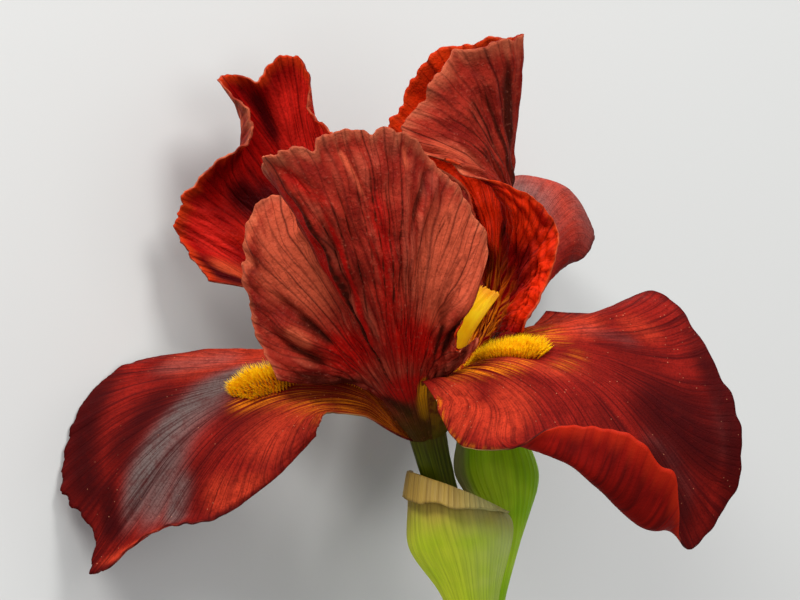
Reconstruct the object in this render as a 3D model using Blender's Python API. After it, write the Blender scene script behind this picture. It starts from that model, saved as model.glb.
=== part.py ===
"""A cut bearded iris: one open blossom on a short stem, lying on its back.

The flower is drawn from the front, in millimetres from its heart, the point
where the petals leave the tube: x runs to the right, y up the flower and z
towards the eye. One empty then lays it down, so that it rests on the margins
of two falls and on the cut end of its stem.
"""

import math

import bmesh
import bpy
import numpy as np
from mathutils import Euler, Vector

MM = 0.001

# How the flower lies: turned about x, then about y, with its heart at this place.
LAY_PITCH_DEG = 4.85
LAY_ROLL_DEG = -32.79
HEART = (0.67, 26.07, 47.01)

# The flower's own axis, up from the heart, and the ring that the petals grow on.
AXIS = np.array((-0.2, 0.92, 0.335)) / np.linalg.norm((-0.2, 0.92, 0.335))
CLAW_RING = 5.0
CLAW_HALF_ANGLE = 25.0
SEAT_GAP = 0.85

PETAL_THICKNESS = 0.8
BRACT_THICKNESS = 0.8
STYLE_THICKNESS = 0.9

# Facets across and along each petal.
PETAL_FACETS = (36, 10)
STYLE_FACETS = (8, 10)
BRACT_FACETS = (14, 12)

# Waves that grow towards a petal's margin: their height, and for each kind its count
# across the petal, its share of the height and how far the petal's phase shifts it.
RUFFLE_HEIGHT = 1.3
RUFFLES = ((5, 0.6, 1.0), (8, 0.4, 2.3))

COLOURS = {
    "standard": ((0.30, 0.018, 0.012), 0.55),
    "fall": ((0.18, 0.010, 0.012), 0.5),
    "beard": ((0.90, 0.42, 0.02), 0.7),
    "style": ((0.78, 0.40, 0.05), 0.5),
    "stamen": ((0.85, 0.72, 0.42), 0.7),
    "tube": ((0.05, 0.09, 0.015), 0.45),
    "bract": ((0.36, 0.50, 0.12), 0.6),
    "stem": ((0.16, 0.30, 0.06), 0.5),
}

# Each petal is a fan of rays from its claw. Its rows are the claw's mouth
# (left, middle and right) and then a point on every ray, at the belly, at the
# shoulder and on the margin. The azimuths run from the petal's first ray to
# its last, round the flower's axis, with 0 to the right and 90 to the back.
FRONT_STANDARD = {
    "azimuths": (228, 282),
    "mouth": ((-9.0, 4.0, 8.5), (-5.6, 4.2, 11.0), (-1.8, 4.6, 9.0)),
    "belly": (
        (-20.7, 8.2, 11), (-23.5, 16.5, 14), (-25.5, 24.0, 16), (-24.5, 29.0, 16.5),
        (-23.0, 33.0, 19.5), (-18.0, 31.0, 28.5), (-11.2, 33.0, 30), (-5.2, 33.7, 28), (0.8, 29.0, 24),
        (5.5, 20.5, 19), (4.6, 10.6, 14.5),
    ),
    "shoulder": (
        (-27.5, 8.5, 12), (-33.5, 21.5, 12), (-35.0, 31.5, 13), (-33.2, 38.5, 14),
        (-28.5, 43.0, 17), (-26.5, 45.5, 35), (-17.5, 50.0, 35), (-7.5, 51.5, 31), (4.0, 43.5, 24),
        (10.4, 26.5, 19), (8.8, 14.2, 17),
    ),
    "margin": (
        (-32.0, 9.0, 12), (-39.0, 25.5, 9), (-39.7, 37.5, 10), (-36.3, 46.0, 11),
        (-29.5, 50.5, 16), (-33.8, 55.3, 37), (-21.8, 60.4, 37), (-8.4, 62.3, 31), (6.8, 50.8, 22),
        (13.8, 34.5, 17), (11.6, 16.6, 17.5),
    ),
    "phase": 0.4,
}
LEFT_STANDARD = {
    "azimuths": (162, 108),
    "mouth": ((-9.0, 10.5, -3.0), (-7.0, 11.5, -5.0), (-4.6, 11.5, -5.0)),
    "belly": (
        (-30.0, 24.0, -10), (-34.8, 30.0, -15), (-36.6, 40.2, -20), (-34.8, 51.5, -24),
        (-30.2, 56.0, -27), (-28.0, 56.2, -27.8), (-25.7, 55.5, -28), (-22.3, 53.7, -28), (-17.8, 50.0, -25),
        (-13.6, 44.0, -21), (-10.6, 37.5, -17), (-7.0, 31.0, -13.5),
    ),
    "shoulder": (
        (-39.0, 29.0, -11), (-46.5, 36.5, -14), (-46.5, 47.5, -17), (-40.5, 61.5, -19),
        (-37.5, 68.5, -21), (-34.0, 69.5, -23), (-30.2, 72.5, -24.5), (-26.5, 69.5, -24), (-22.5, 62.5, -23),
        (-17.0, 55.0, -20), (-11.0, 44.0, -16), (-7.9, 35.5, -14),
    ),
    "margin": (
        (-46.5, 31.5, -9), (-54.5, 41.0, -12), (-53.0, 52.0, -11), (-37.5, 67.0, -8),
        (-46.3, 76.1, -12), (-39.2, 76.0, -17), (-32.0, 82.6, -20), (-26.9, 79.5, -20), (-26.0, 70.0, -20),
        (-19.9, 64.3, -18), (-12.0, 51.5, -15), (-8.5, 39.5, -13.5),
    ),
    "phase": 2.1,
}
RIGHT_STANDARD = {
    "azimuths": (42, -12),
    "mouth": ((9.0, 13.5, -7.0), (12.0, 15.2, -5.0), (12.0, 13.0, -0.5)),
    "belly": (
        (11.5, 27.0, -7), (13.0, 31.5, -8), (14.5, 35.0, -9), (16.0, 37.0, -9),
        (17.0, 38.0, -9), (18.0, 38.5, -8), (18.8, 38.0, -6), (19.0, 37.0, -4),
        (19.0, 36.0, -2), (19.2, 34.5, 0), (19.6, 33.0, 1), (20.0, 31.0, 2),
        (20.5, 28.5, 4), (20.2, 24.5, 5.5), (16.8, 18.6, 7.0),
    ),
    "shoulder": (
        (12.8, 34.0, -6), (11.0, 42.5, -10), (9.0, 50.0, -13), (11.0, 56.5, -14),
        (15.0, 60.0, -12), (19.5, 62.0, -5), (17.5, 61.5, 3), (14.5, 58.0, 8),
        (14.0, 53.5, 10), (16.5, 50.0, 11), (19.5, 46.5, 10), (22.5, 42.5, 8),
        (25.0, 37.0, 7), (24.5, 29.5, 7.5), (19.6, 18.8, 9.0),
    ),
    "margin": (
        (13.4, 37.5, -5), (7.0, 52.5, -9), (-7.2, 64.3, -11), (-4.5, 72.5, -10),
        (3.6, 82.4, -6), (20.8, 84.6, 3), (8.5, 80.5, 11), (-1.5, 69.0, 14),
        (-4.4, 61.5, 15), (3.5, 56.0, 15), (13.4, 53.0, 14), (23.5, 48.8, 11),
        (29.6, 40.2, 9), (27.6, 27.5, 9.5), (21.2, 18.9, 10.0),
    ),
    "phase": 4.0,
}
LEFT_FALL = {
    "azimuths": (168, 222),
    "mouth": ((-17.5, 12.5, -2.0), (-18.5, 7.0, 3.5), (-17.5, 1.0, 10.5)),
    "belly": (
        (-34.0, 15.3, -5), (-41.5, 13.8, -5), (-47.5, 10.8, -1), (-51.0, 6.5, 3),
        (-52.0, 1.5, 8), (-50.0, -3.5, 12), (-46.5, -7.0, 15), (-41.0, -8.0, 17.5),
        (-32.0, -4.5, 18), (-22.5, -0.5, 15),
    ),
    "shoulder": (
        (-40.0, 15.5, -7), (-52.0, 14.3, -8), (-62.0, 10.0, -5), (-67.5, 1.5, 0),
        (-68.0, -10.0, 6), (-64.0, -21.5, 10), (-57.5, -23.0, 14), (-47.0, -20.0, 18),
        (-35.0, -13.0, 20.5), (-23.5, -2.5, 16.5),
    ),
    "margin": (
        (-44.6, 15.5, -9), (-59.2, 13.7, -12), (-72.5, 8.4, -9), (-79.6, -6.5, -3),
        (-78.6, -20.0, 3), (-73.6, -34.0, 9), (-61.0, -26.0, 17.5), (-47.7, -22.4, 20),
        (-34.8, -15.0, 20.5), (-23.5, -4.0, 16.5),
    ),
    "phase": 1.3,
}
RIGHT_FALL = {
    "azimuths": (342, 288),
    "mouth": ((17.5, 15.5, 2.0), (10.6, 9.8, 9.0), (0.0, 5.6, 12.2)),
    "belly": (
        (22.4, 19.2, 1.2), (29.0, 21.2, 3), (35.6, 20.4, 7), (40.8, 16.0, 12),
        (43.8, 8.7, 18), (43.0, 4.8, 22), (40.2, 2.2, 26), (35.7, -0.5, 30),
        (30.3, 0.0, 32), (23.8, 0.6, 32), (17.3, 1.7, 30), (11.0, 3.6, 25),
        (2.4, 4.2, 18.5),
    ),
    "shoulder": (
        (25.6, 21.6, -1.2), (37.0, 23.5, -1), (49.0, 24.5, 2), (56.5, 15.5, 9),
        (61.5, -2.0, 17), (60.0, -16.0, 21), (53.0, -22.0, 27), (48.5, -23.5, 34),
        (39.0, -14.0, 40), (28.5, -8.2, 43), (17.8, -5.0, 40), (10.5, -2.0, 32.5),
        (3.2, 3.0, 20.8),
    ),
    "margin": (
        (27.0, 23.6, -3), (39.3, 24.3, -6), (52.6, 27.0, -4), (61.1, 17.3, 4),
        (69.3, -3.1, 13), (65.0, -21.2, 17), (56.0, -28.2, 25), (54.0, -15.0, 36),
        (43.0, -3.9, 41), (31.1, -1.3, 43.5), (19.5, -5.5, 43), (8.8, -6.2, 34),
        (3.8, 1.6, 22.2),
    ),
    "phase": 3.2,
}
BACK_FALL = {
    "azimuths": (102, 48),
    "mouth": ((1.0, 7.2, -19.5), (6.0, 8.2, -18.0), (11.0, 6.2, -16.0)),
    "belly": (
        (0.5, 21.0, -31), (5.0, 28.0, -33.5), (10.5, 32.5, -35), (16.0, 34.0, -36),
        (20.5, 32.0, -35.5), (23.0, 28.5, -34), (24.0, 24.5, -31.0),
    ),
    "shoulder": (
        (-4.5, 31.0, -42), (1.5, 44.0, -46.5), (12.5, 53.0, -50.5), (24.0, 56.5, -52.5),
        (33.0, 53.0, -51.5), (35.5, 43.5, -46.0), (30.5, 33.0, -38),
    ),
    "margin": (
        (-8.5, 37.0, -50), (-4.5, 48.0, -57), (8.0, 54.0, -64), (24.0, 51.0, -69.5),
        (37.5, 48.0, -66), (39.5, 41.0, -55), (33.0, 35.0, -45),
    ),
    "phase": 5.1,
}
PETALS = {
    "standard_front": (FRONT_STANDARD, "standard"),
    "standard_left": (LEFT_STANDARD, "standard"),
    "standard_right": (RIGHT_STANDARD, "standard"),
    "fall_left": (LEFT_FALL, "fall"),
    "fall_right": (RIGHT_FALL, "fall"),
    "fall_back": (BACK_FALL, "fall"),
}

# Style arms: the azimuth they leave the tube at, the rest of their middle line out
# to the crest, the way across, and the half width at each point of the line.
STYLE_HALF_WIDTHS = (1.2, 2.8, 4.6, 5.4, 5.0)
STYLE_RING = 1.6
STYLE_ARMS = {
    "left": (
        190, ((-7.5, 9.5, 2.0), (-13.5, 16.5, 3.0), (-20.0, 21.0, 3.0), (-23.5, 26.5, 1.0)), (0.35, 0.45, -0.8)
    ),
    "right": (
        315, ((3.8, 9.4, 3.6), (6.6, 17.5, 6.2), (10.8, 24.5, 8.0), (15.0, 29.5, 8.0)), (0.88, -0.45, 0.15)
    ),
    "back": (
        75, ((1.5, 11.0, -5.5), (3.0, 19.5, -10.5), (5.0, 26.0, -16.0), (6.0, 32.0, -19.0)), (0.95, 0.1, 0.2)
    ),
}
STYLE_BOW = 1.6

# Stamens: the filament's foot, and how far the anther lies under its style arm.
STAMEN_RING = 3.35
STAMEN_DROP = 2.2
FILAMENT_RADIUS = 0.5
ANTHER_RADIUS = 1.1
ANTHER_TIP_RADIUS = 0.45
STAMEN_SIDES = 6

# Beards: the half width, the gap under them, the core's and the hairs' heights, and for
# each fall the place across it and the stretch along it that the beard covers.
BEARD_HALF_WIDTH = 3.0
BEARD_LIFT = 0.45
BEARD_CORE = 0.9
BEARD_HAIR = 3.0
BEARD_WALL = 0.3
BEARD_SPLAY = 0.5
BEARD_RINGS = 34
BEARD_TOP_POINTS = 7
BEARDS = {
    "left": (0.43, (0.18, 0.54)),
    "right": (0.45, (0.205, 0.44)),
    "back": (0.5, (0.18, 0.5)),
}

# The tube and the ovary: how far down from the heart, and the radius.
TUBE_STATIONS = (
    (0.0, 5.9), (2.2, 5.0), (6.0, 4.1), (14.0, 3.7), (20.0, 3.6),
    (26.0, 3.9), (36.0, 4.0), (46.0, 3.4), (50.5, 3.0),
)
TUBE_LINE = ((0.0, 0.0, 0.0), (1.3, -6.0, -2.2), (4.5, -18.0, -6.6), (8.4, -33.0, -12.2), (12.2, -49.0, -18.2))
TUBE_SIDES = 24
TUBE_RIBS = 6
TUBE_RIB_HEIGHT = 0.25

# The stem's middle line and radii, from the flower down to the cut end.
STEM_LINE = (
    (12.3, -49.4, -18.3), (15.5, -65.0, -24.0), (20.0, -90.0, -34.0), (23.5, -118.0, -46.0), (25.5, -140.0, -56.0),
)
STEM_RADII = (3.6, 3.8, 4.0, 4.2, 4.3)
STEM_SIDES = 16

# The two sheathing bracts: rows of points round the tube, from the node up.
FRONT_BRACT = (
    ((8.3, -50.0, -20.8), (7.6, -50.0, -17.0), (10.4, -49.6, -13.9), (14.6, -49.6, -14.2), (16.3, -50.0, -15.9)),
    ((5.2, -38.0, -18.0), (3.0, -38.0, -12.0), (7.5, -37.0, -6.8), (14.0, -37.0, -6.8), (17.0, -38.0, -10.0)),
    ((-1.5, -28.0, -14.0), (-3.2, -28.5, -7.0), (4.5, -27.5, 0.5), (14.0, -27.0, 0.2), (19.4, -28.0, -5.5)),
    ((-2.4, -20.0, -11.0), (-3.4, -20.0, -5.0), (3.0, -20.0, 2.4), (13.0, -21.5, 1.6), (19.4, -22.8, -4.5)),
    ((-2.6, -12.0, -9.0), (-3.5, -12.0, -3.6), (3.0, -14.2, 2.2), (12.0, -17.8, 1.4), (18.0, -20.8, -4.2)),
    ((-3.6, -16.5, -10.0), (-4.4, -17.8, -3.0), (2.8, -19.0, 4.8), (12.4, -20.0, 4.2), (18.9, -20.9, -1.9)),
)
BACK_BRACT = (
    ((16.9, -50.2, -17.8), (17.2, -50.2, -19.8), (15.6, -50.2, -22.2), (12.5, -50.2, -23.3), (9.4, -50.2, -22.6)),
    ((14.6, -38.0, -12.8), (17.2, -38.0, -14.2), (18.6, -38.0, -18.0), (14.0, -38.0, -22.5), (8.5, -38.0, -20.8)),
    ((13.0, -28.0, -8.6), (18.4, -28.0, -9.8), (21.4, -28.0, -15.5), (16.5, -28.0, -21.8), (9.0, -28.0, -18.4)),
    ((11.2, -20.0, -6.0), (18.0, -20.0, -7.2), (24.0, -20.0, -13.0), (18.5, -20.0, -20.0), (9.8, -20.0, -16.2)),
    ((7.2, -13.0, -9.6), (16.4, -12.0, -5.4), (25.4, -12.0, -11.5), (19.5, -12.0, -18.0), (10.8, -12.5, -14.0)),
    ((7.4, -5.0, -7.5), (15.4, -4.0, -5.6), (22.0, -3.5, -9.5), (18.5, -4.0, -14.5), (12.0, -4.5, -11.5)),
)


def spline_weights(knots, samples):
    """Weights that turn values at the knots into a natural cubic spline at each sample."""
    count = len(knots)
    gaps = np.diff(knots)
    bend = np.eye(count)
    rise = np.zeros((count, count))
    for i in range(1, count - 1):
        before, after = gaps[i - 1], gaps[i]
        bend[i, i - 1 : i + 2] = before, 2 * (before + after), after
        rise[i, i - 1 : i + 2] = 6 / before, -6 / before - 6 / after, 6 / after
    curvature = np.linalg.solve(bend, rise)
    span = np.clip(np.searchsorted(knots, samples, side="right") - 1, 0, count - 2)
    width = gaps[span][:, None]
    left = (np.take(knots, span + 1) - samples)[:, None] / width
    right = 1 - left
    at = np.eye(count)
    return (
        left * at[span]
        + right * at[span + 1]
        + (left**3 - left) * width**2 / 6 * curvature[span]
        + (right**3 - right) * width**2 / 6 * curvature[span + 1]
    )


def chord_knots(points, axis):
    """Knots from 0 to 1 spaced by the mean distance between neighbouring rows or columns."""
    steps = np.linalg.norm(np.diff(points, axis=axis), axis=2).mean(axis=1 - axis)
    knots = np.concatenate(([0.0], np.cumsum(steps)))
    return knots / knots[-1]


def surface(net, across, along):
    """Points of the smooth surface through a net of points, on a grid of parameters."""
    net = np.asarray(net, float)
    by_row = spline_weights(chord_knots(net, 0), np.asarray(along, float))
    by_column = spline_weights(chord_knots(net[1:], 1), np.asarray(across, float))
    return np.einsum("ar,bc,rcx->abx", by_row, by_column, net)


def normals(grid):
    """Unit normals of a grid of points."""
    cross = np.cross(np.gradient(grid, axis=1), np.gradient(grid, axis=0))
    return cross / np.maximum(np.linalg.norm(cross, axis=2, keepdims=True), 1e-9)


def round_the_axis(azimuth, radius, height):
    """The point at this azimuth, radius and height about the flower's own axis."""
    across = np.array((1.0, 0, 0)) - AXIS[0] * AXIS
    across /= np.linalg.norm(across)
    back = np.cross(AXIS, across)
    turn = math.radians(azimuth)
    return radius * (math.cos(turn) * across + math.sin(turn) * back) + height * AXIS


def bow(left, middle, right, count):
    """Count points on the parabola through three points."""
    left, middle, right = (np.asarray(p, float) for p in (left, middle, right))
    t = np.linspace(0, 1, count)[:, None]
    return left * (1 - t) * (1 - 2 * t) + middle * 4 * t * (1 - t) + right * t * (2 * t - 1)


def petal_net(petal):
    """Rows of points from the claw's foot on the tube out to the margin."""
    count = len(petal["margin"])
    middle = sum(petal["azimuths"]) / 2
    half = math.copysign(CLAW_HALF_ANGLE, petal["azimuths"][1] - petal["azimuths"][0])
    turns = np.linspace(middle - half, middle + half, count)
    foot = [round_the_axis(turn, CLAW_RING, SEAT_GAP) for turn in turns]
    return [foot, bow(*petal["mouth"], count), petal["belly"], petal["shoulder"], petal["margin"]]


def ruffled(grid, phase):
    """The grid with waves that grow towards its margin."""
    rows, columns, _ = grid.shape
    along = np.linspace(0, 1, rows)[:, None]
    across = np.linspace(0, 1, columns)[None, :]
    wave = 0
    for count, share, shift in RUFFLES:
        wave = wave + share * np.sin(2 * math.pi * count * across + shift * phase)
    return grid + (RUFFLE_HEIGHT * along**3 * wave)[:, :, None] * normals(grid)


def petal_grid(petal, columns, rows):
    """Points of a petal's ruffled middle surface."""
    net = petal_net(petal)
    grid = surface(net, np.linspace(0, 1, columns + 1), np.linspace(0, 1, rows + 1))
    return ruffled(grid, petal["phase"])


def material(kind):
    found = bpy.data.materials.get(kind)
    if found:
        return found
    colour, roughness = COLOURS[kind]
    made = bpy.data.materials.new(kind)
    made.use_nodes = True
    shader = made.node_tree.nodes["Principled BSDF"]
    shader.inputs["Base Color"].default_value = (*colour, 1)
    shader.inputs["Roughness"].default_value = roughness
    shader.inputs["Metallic"].default_value = 0.0
    return made


def add_object(name, mesh, kind, flower):
    mesh.materials.append(material(kind))
    mesh.shade_smooth()
    mesh.set_sharp_from_angle(angle=math.radians(50))
    made = bpy.data.objects.new(name, mesh)
    bpy.context.scene.collection.objects.link(made)
    made.parent = flower
    return made


def mesh_from(name, work):
    mesh = bpy.data.meshes.new(name)
    work.to_mesh(mesh)
    work.free()
    return mesh


def sheet(name, grid, thickness, kind, flower):
    """A thin sheet through a grid of points, split into the same triangles on both faces."""
    rows, columns = grid.shape[0] - 1, grid.shape[1] - 1
    work = bmesh.new()
    bmesh.ops.create_grid(work, x_segments=columns, y_segments=rows, size=1)
    for vertex in work.verts:
        column = round((vertex.co.x + 1) / 2 * columns)
        row = round((vertex.co.y + 1) / 2 * rows)
        vertex.co = Vector(grid[row, column]) * MM
    bmesh.ops.triangulate(work, faces=work.faces, quad_method="SHORT_EDGE")
    made = add_object(name, mesh_from(name, work), kind, flower)
    wall = made.modifiers.new("Wall", "SOLIDIFY")
    wall.thickness = thickness * MM
    wall.offset = 0
    return made


def tube(name, rings, kind, flower):
    """A closed body through rings of points, with flat ends."""
    work = bmesh.new()
    loops = [[work.verts.new(Vector(point) * MM) for point in ring] for ring in rings]
    edges = [[work.edges.new((a, b)) for a, b in zip(loop, loop[1:] + loop[:1])] for loop in loops]
    for near, far in zip(edges, edges[1:]):
        bmesh.ops.bridge_loops(work, edges=near + far)
    for loop in (loops[0], loops[-1]):
        work.faces.new(loop)
    bmesh.ops.recalc_face_normals(work, faces=work.faces)
    bmesh.ops.triangulate(work, faces=work.faces)
    return add_object(name, mesh_from(name, work), kind, flower)


def line_points(points, samples):
    """Points along the smooth line through some points, by its length."""
    points = np.asarray(points, float)
    steps = np.linalg.norm(np.diff(points, axis=0), axis=1)
    knots = np.concatenate(([0.0], np.cumsum(steps)))
    return spline_weights(knots, np.asarray(samples, float)) @ points, knots[-1]


def rings_along(line, stations, sides, ribs=0, rib_height=0.0):
    """Rings round a line at stations of (distance, radius), ribbed if asked."""
    distances = [distance for distance, _ in stations]
    centres, _ = line_points(line, distances)
    ways = np.gradient(centres, axis=0)
    rings = []
    for centre, way, (_, radius) in zip(centres, ways, stations):
        turn = Vector(way).to_track_quat("Z", "X").to_matrix()
        ring = []
        for side in range(sides):
            angle = 2 * math.pi * side / sides
            reach = radius + rib_height * math.cos(ribs * angle)
            ring.append(Vector(centre) + turn @ Vector((reach * math.cos(angle), reach * math.sin(angle), 0)))
        rings.append(ring)
    return rings


def add_petals(flower):
    columns, rows = PETAL_FACETS
    for name, (petal, kind) in PETALS.items():
        sheet(name, petal_grid(petal, columns, rows), PETAL_THICKNESS, kind, flower)


def style_frame(azimuth, line, way):
    """The middle line of a style arm with its way across and its way out at every point."""
    line = np.array([round_the_axis(azimuth, STYLE_RING, SEAT_GAP), *line], float)
    foot_way = round_the_axis(azimuth + 90, 1, 0)
    inward = AXIS - 2 * round_the_axis(azimuth, 1, 0)
    ways = [foot_way * math.copysign(1, foot_way @ way)] + [way / np.linalg.norm(way)] * (len(line) - 1)
    outs = []
    for side, direction in zip(ways, np.gradient(line, axis=0)):
        out = np.cross(side, direction / np.linalg.norm(direction))
        outs.append(out * math.copysign(1, out @ inward))
    return line, ways, outs


def add_style_arms(flower):
    """Three petal-like arms over the falls, bowed across and turned up at the crest."""
    columns, rows = STYLE_FACETS
    spread = np.linspace(-1, 1, 5)
    for side, (azimuth, line, way) in STYLE_ARMS.items():
        line, ways, outs = style_frame(azimuth, line, np.asarray(way))
        net = []
        for centre, across, out, half in zip(line, ways, outs, STYLE_HALF_WIDTHS):
            net.append([centre + across * half * s - out * STYLE_BOW * (half / 5) * s * s for s in spread])
        grid = surface(net, np.linspace(0, 1, columns + 1), np.linspace(0, 1, rows + 1))
        sheet("style_arm_" + side, grid, STYLE_THICKNESS, "style", flower)


def add_stamens(flower):
    """A thin filament and a long anther under each style arm."""
    for side, (azimuth, line, way) in STYLE_ARMS.items():
        line, _, outs = style_frame(azimuth, line, np.asarray(way))
        foot = round_the_axis(azimuth, STAMEN_RING, SEAT_GAP)
        joint, tip = line[1] - outs[1] * STAMEN_DROP, line[2] - outs[2] * STAMEN_DROP
        reach = math.dist(foot, joint)
        length = math.dist(joint, tip)
        stations = [
            (0.0, FILAMENT_RADIUS),
            (reach - ANTHER_RADIUS, FILAMENT_RADIUS),
            (reach + ANTHER_RADIUS, ANTHER_RADIUS),
            (reach + length - ANTHER_RADIUS, ANTHER_RADIUS),
            (reach + length, ANTHER_TIP_RADIUS),
        ]
        tube("stamen_" + side, rings_along((foot, joint, tip), stations, STAMEN_SIDES), "stamen", flower)


def on_grid(grid, across, along):
    """The point between a grid's points at parameters from 0 to 1."""
    rows, columns = grid.shape[0] - 1, grid.shape[1] - 1
    column = min(int(across * columns), columns - 1)
    row = min(int(along * rows), rows - 1)
    s, t = across * columns - column, along * rows - row
    near = grid[row, column] * (1 - s) + grid[row, column + 1] * s
    far = grid[row + 1, column] * (1 - s) + grid[row + 1, column + 1] * s
    return near * (1 - t) + far * t


def add_beards(flower):
    """A bristly strip along the middle of each fall, every second point drawn out into a hair."""
    columns, rows = PETAL_FACETS
    floor = PETAL_THICKNESS / 2 + BEARD_LIFT
    for side, (middle, (start, end)) in BEARDS.items():
        petal, _ = PETALS["fall_" + side]
        grid = petal_grid(petal, columns, rows)
        up = normals(grid)
        up *= math.copysign(1, up[rows // 2, columns // 2] @ AXIS)
        rings = []
        for i in range(BEARD_RINGS):
            part = i / (BEARD_RINGS - 1)
            along = start + (end - start) * part
            fullness = math.sin(math.pi * (0.04 + 0.84 * part)) ** 0.5
            width = np.linalg.norm(on_grid(grid, 1, along) - on_grid(grid, 0, along))
            half = BEARD_HALF_WIDTH * fullness / width
            ring = []
            for s in (-0.9, 0.0, 0.9):
                u = middle + half * s
                ring.append(on_grid(grid, u, along) + on_grid(up, u, along) * floor)
            for k in range(BEARD_TOP_POINTS):
                s = 1 - 2 * k / (BEARD_TOP_POINTS - 1)
                u = middle + half * s
                height = floor + BEARD_WALL + BEARD_CORE * (1 - s * s)
                point = on_grid(grid, u, along)
                if (i + k) % 2:
                    height += BEARD_HAIR * fullness * (1 - 0.3 * s * s)
                    point = on_grid(grid, u + half * s * BEARD_SPLAY, along)
                ring.append(point + on_grid(up, u, along) * height)
            rings.append(ring)
        tube("beard_" + side, rings, "beard", flower)


def add_tube_and_stem(flower):
    rings = rings_along(TUBE_LINE, TUBE_STATIONS, TUBE_SIDES, TUBE_RIBS, TUBE_RIB_HEIGHT)
    tube("perianth_tube", rings, "tube", flower)
    _, length = line_points(STEM_LINE, [0.0])
    stations = [(length * i / (len(STEM_RADII) - 1), radius) for i, radius in enumerate(STEM_RADII)]
    tube("stem", rings_along(STEM_LINE, stations, STEM_SIDES), "stem", flower)


def add_bracts(flower):
    columns, rows = BRACT_FACETS
    for name, net in (("bract_front", FRONT_BRACT), ("bract_back", BACK_BRACT)):
        grid = surface(net, np.linspace(0, 1, columns + 1), np.linspace(0, 1, rows + 1))
        sheet(name, grid, BRACT_THICKNESS, "bract", flower)


def main():
    for old in list(bpy.data.objects):
        bpy.data.objects.remove(old)
    flower = bpy.data.objects.new("flower", None)
    bpy.context.scene.collection.objects.link(flower)
    flower.location = Vector(HEART) * MM
    flower.rotation_euler = Euler((math.radians(LAY_PITCH_DEG), math.radians(LAY_ROLL_DEG), 0))
    add_petals(flower)
    add_style_arms(flower)
    add_stamens(flower)
    add_beards(flower)
    add_tube_and_stem(flower)
    add_bracts(flower)


main()
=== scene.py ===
import math

import bmesh
import bpy
import numpy as np
from mathutils import Euler, Matrix, Vector


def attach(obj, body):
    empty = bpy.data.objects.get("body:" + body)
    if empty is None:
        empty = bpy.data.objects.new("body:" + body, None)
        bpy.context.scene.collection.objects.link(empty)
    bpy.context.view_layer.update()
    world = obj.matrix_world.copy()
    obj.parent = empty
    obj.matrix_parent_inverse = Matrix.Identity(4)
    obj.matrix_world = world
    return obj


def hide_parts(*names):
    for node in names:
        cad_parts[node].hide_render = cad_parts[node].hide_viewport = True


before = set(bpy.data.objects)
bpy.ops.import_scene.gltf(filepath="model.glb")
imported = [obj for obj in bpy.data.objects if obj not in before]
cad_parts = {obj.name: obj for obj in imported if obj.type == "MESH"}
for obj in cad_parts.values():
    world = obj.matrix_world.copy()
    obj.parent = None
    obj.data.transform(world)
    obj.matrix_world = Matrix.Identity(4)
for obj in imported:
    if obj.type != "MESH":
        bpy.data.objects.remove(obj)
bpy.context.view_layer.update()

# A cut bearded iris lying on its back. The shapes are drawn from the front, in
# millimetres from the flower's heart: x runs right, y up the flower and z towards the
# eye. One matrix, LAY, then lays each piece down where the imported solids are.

MM = 0.001

LAY_PITCH_DEG = 4.85
LAY_ROLL_DEG = -32.79
HEART = (0.67, 26.07, 47.01)
LAY = Matrix.LocRotScale(
    Vector(HEART) * MM, Euler((math.radians(LAY_PITCH_DEG), math.radians(LAY_ROLL_DEG), 0)), None
)

# The flower's own axis, up from the heart, and the ring that the petals grow on. The
# foot of a claw is sunk and drawn in, up to these shares of the petal's length.
AXIS = np.array((-0.2, 0.92, 0.335)) / np.linalg.norm((-0.2, 0.92, 0.335))
CLAW_RING = 5.0
CLAW_HALF_ANGLE = 29.0
SEAT_GAP = 0.85
CLAW_SINK, SINK_END = 4.6, 0.16
CLAW_DIP, DIP_END = 0.75, 0.1

# Waves that grow towards a petal's margin: their height, and for each kind its count
# across the petal, its share of the height and how far the petal's phase shifts it.
RUFFLE_HEIGHT = 1.3
RUFFLES = ((5, 0.6, 1), (8, 0.4, 2.3))

# Uneven waves, each the sum of a number of ripples, packed about so tightly across and
# along a petal. Then what a petal has of them where it states nothing else: how ragged
# its margin is, the height of its frill, and of its folds, blisters and fine blisters.
RIPPLES, FOLD_RIPPLES, FINE_RIPPLES = 10, 14, 16
TEARS, FINE_TEARS = (16, 0), (45, 0)
FRILLS = (22, 1.5)
FOLDS, BLISTERS, FINE_BLISTERS = (8, 6), (16, 2.2), (36, 5)
RAGGED = 0.005
FRILL = 0.35
CRUMPLE = (0.4, 0.34, 0.14)

# How finely each kind of sheet is drawn, across and along, and how thick it is, in mm.
PETAL_CELLS, PETAL_WALL = (320, 130), 0.45
STYLE_CELLS, STYLE_WALL = (72, 90), 0.5
BRACT_CELLS, BRACT_WALL = (120, 120), 0.5
BEARD_CELLS = (180, 120)
STROKE_SAMPLES = 90

# The lowest that a sheet's middle lies over the floor, in mm.
REST_HEIGHT = 0.25

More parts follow.
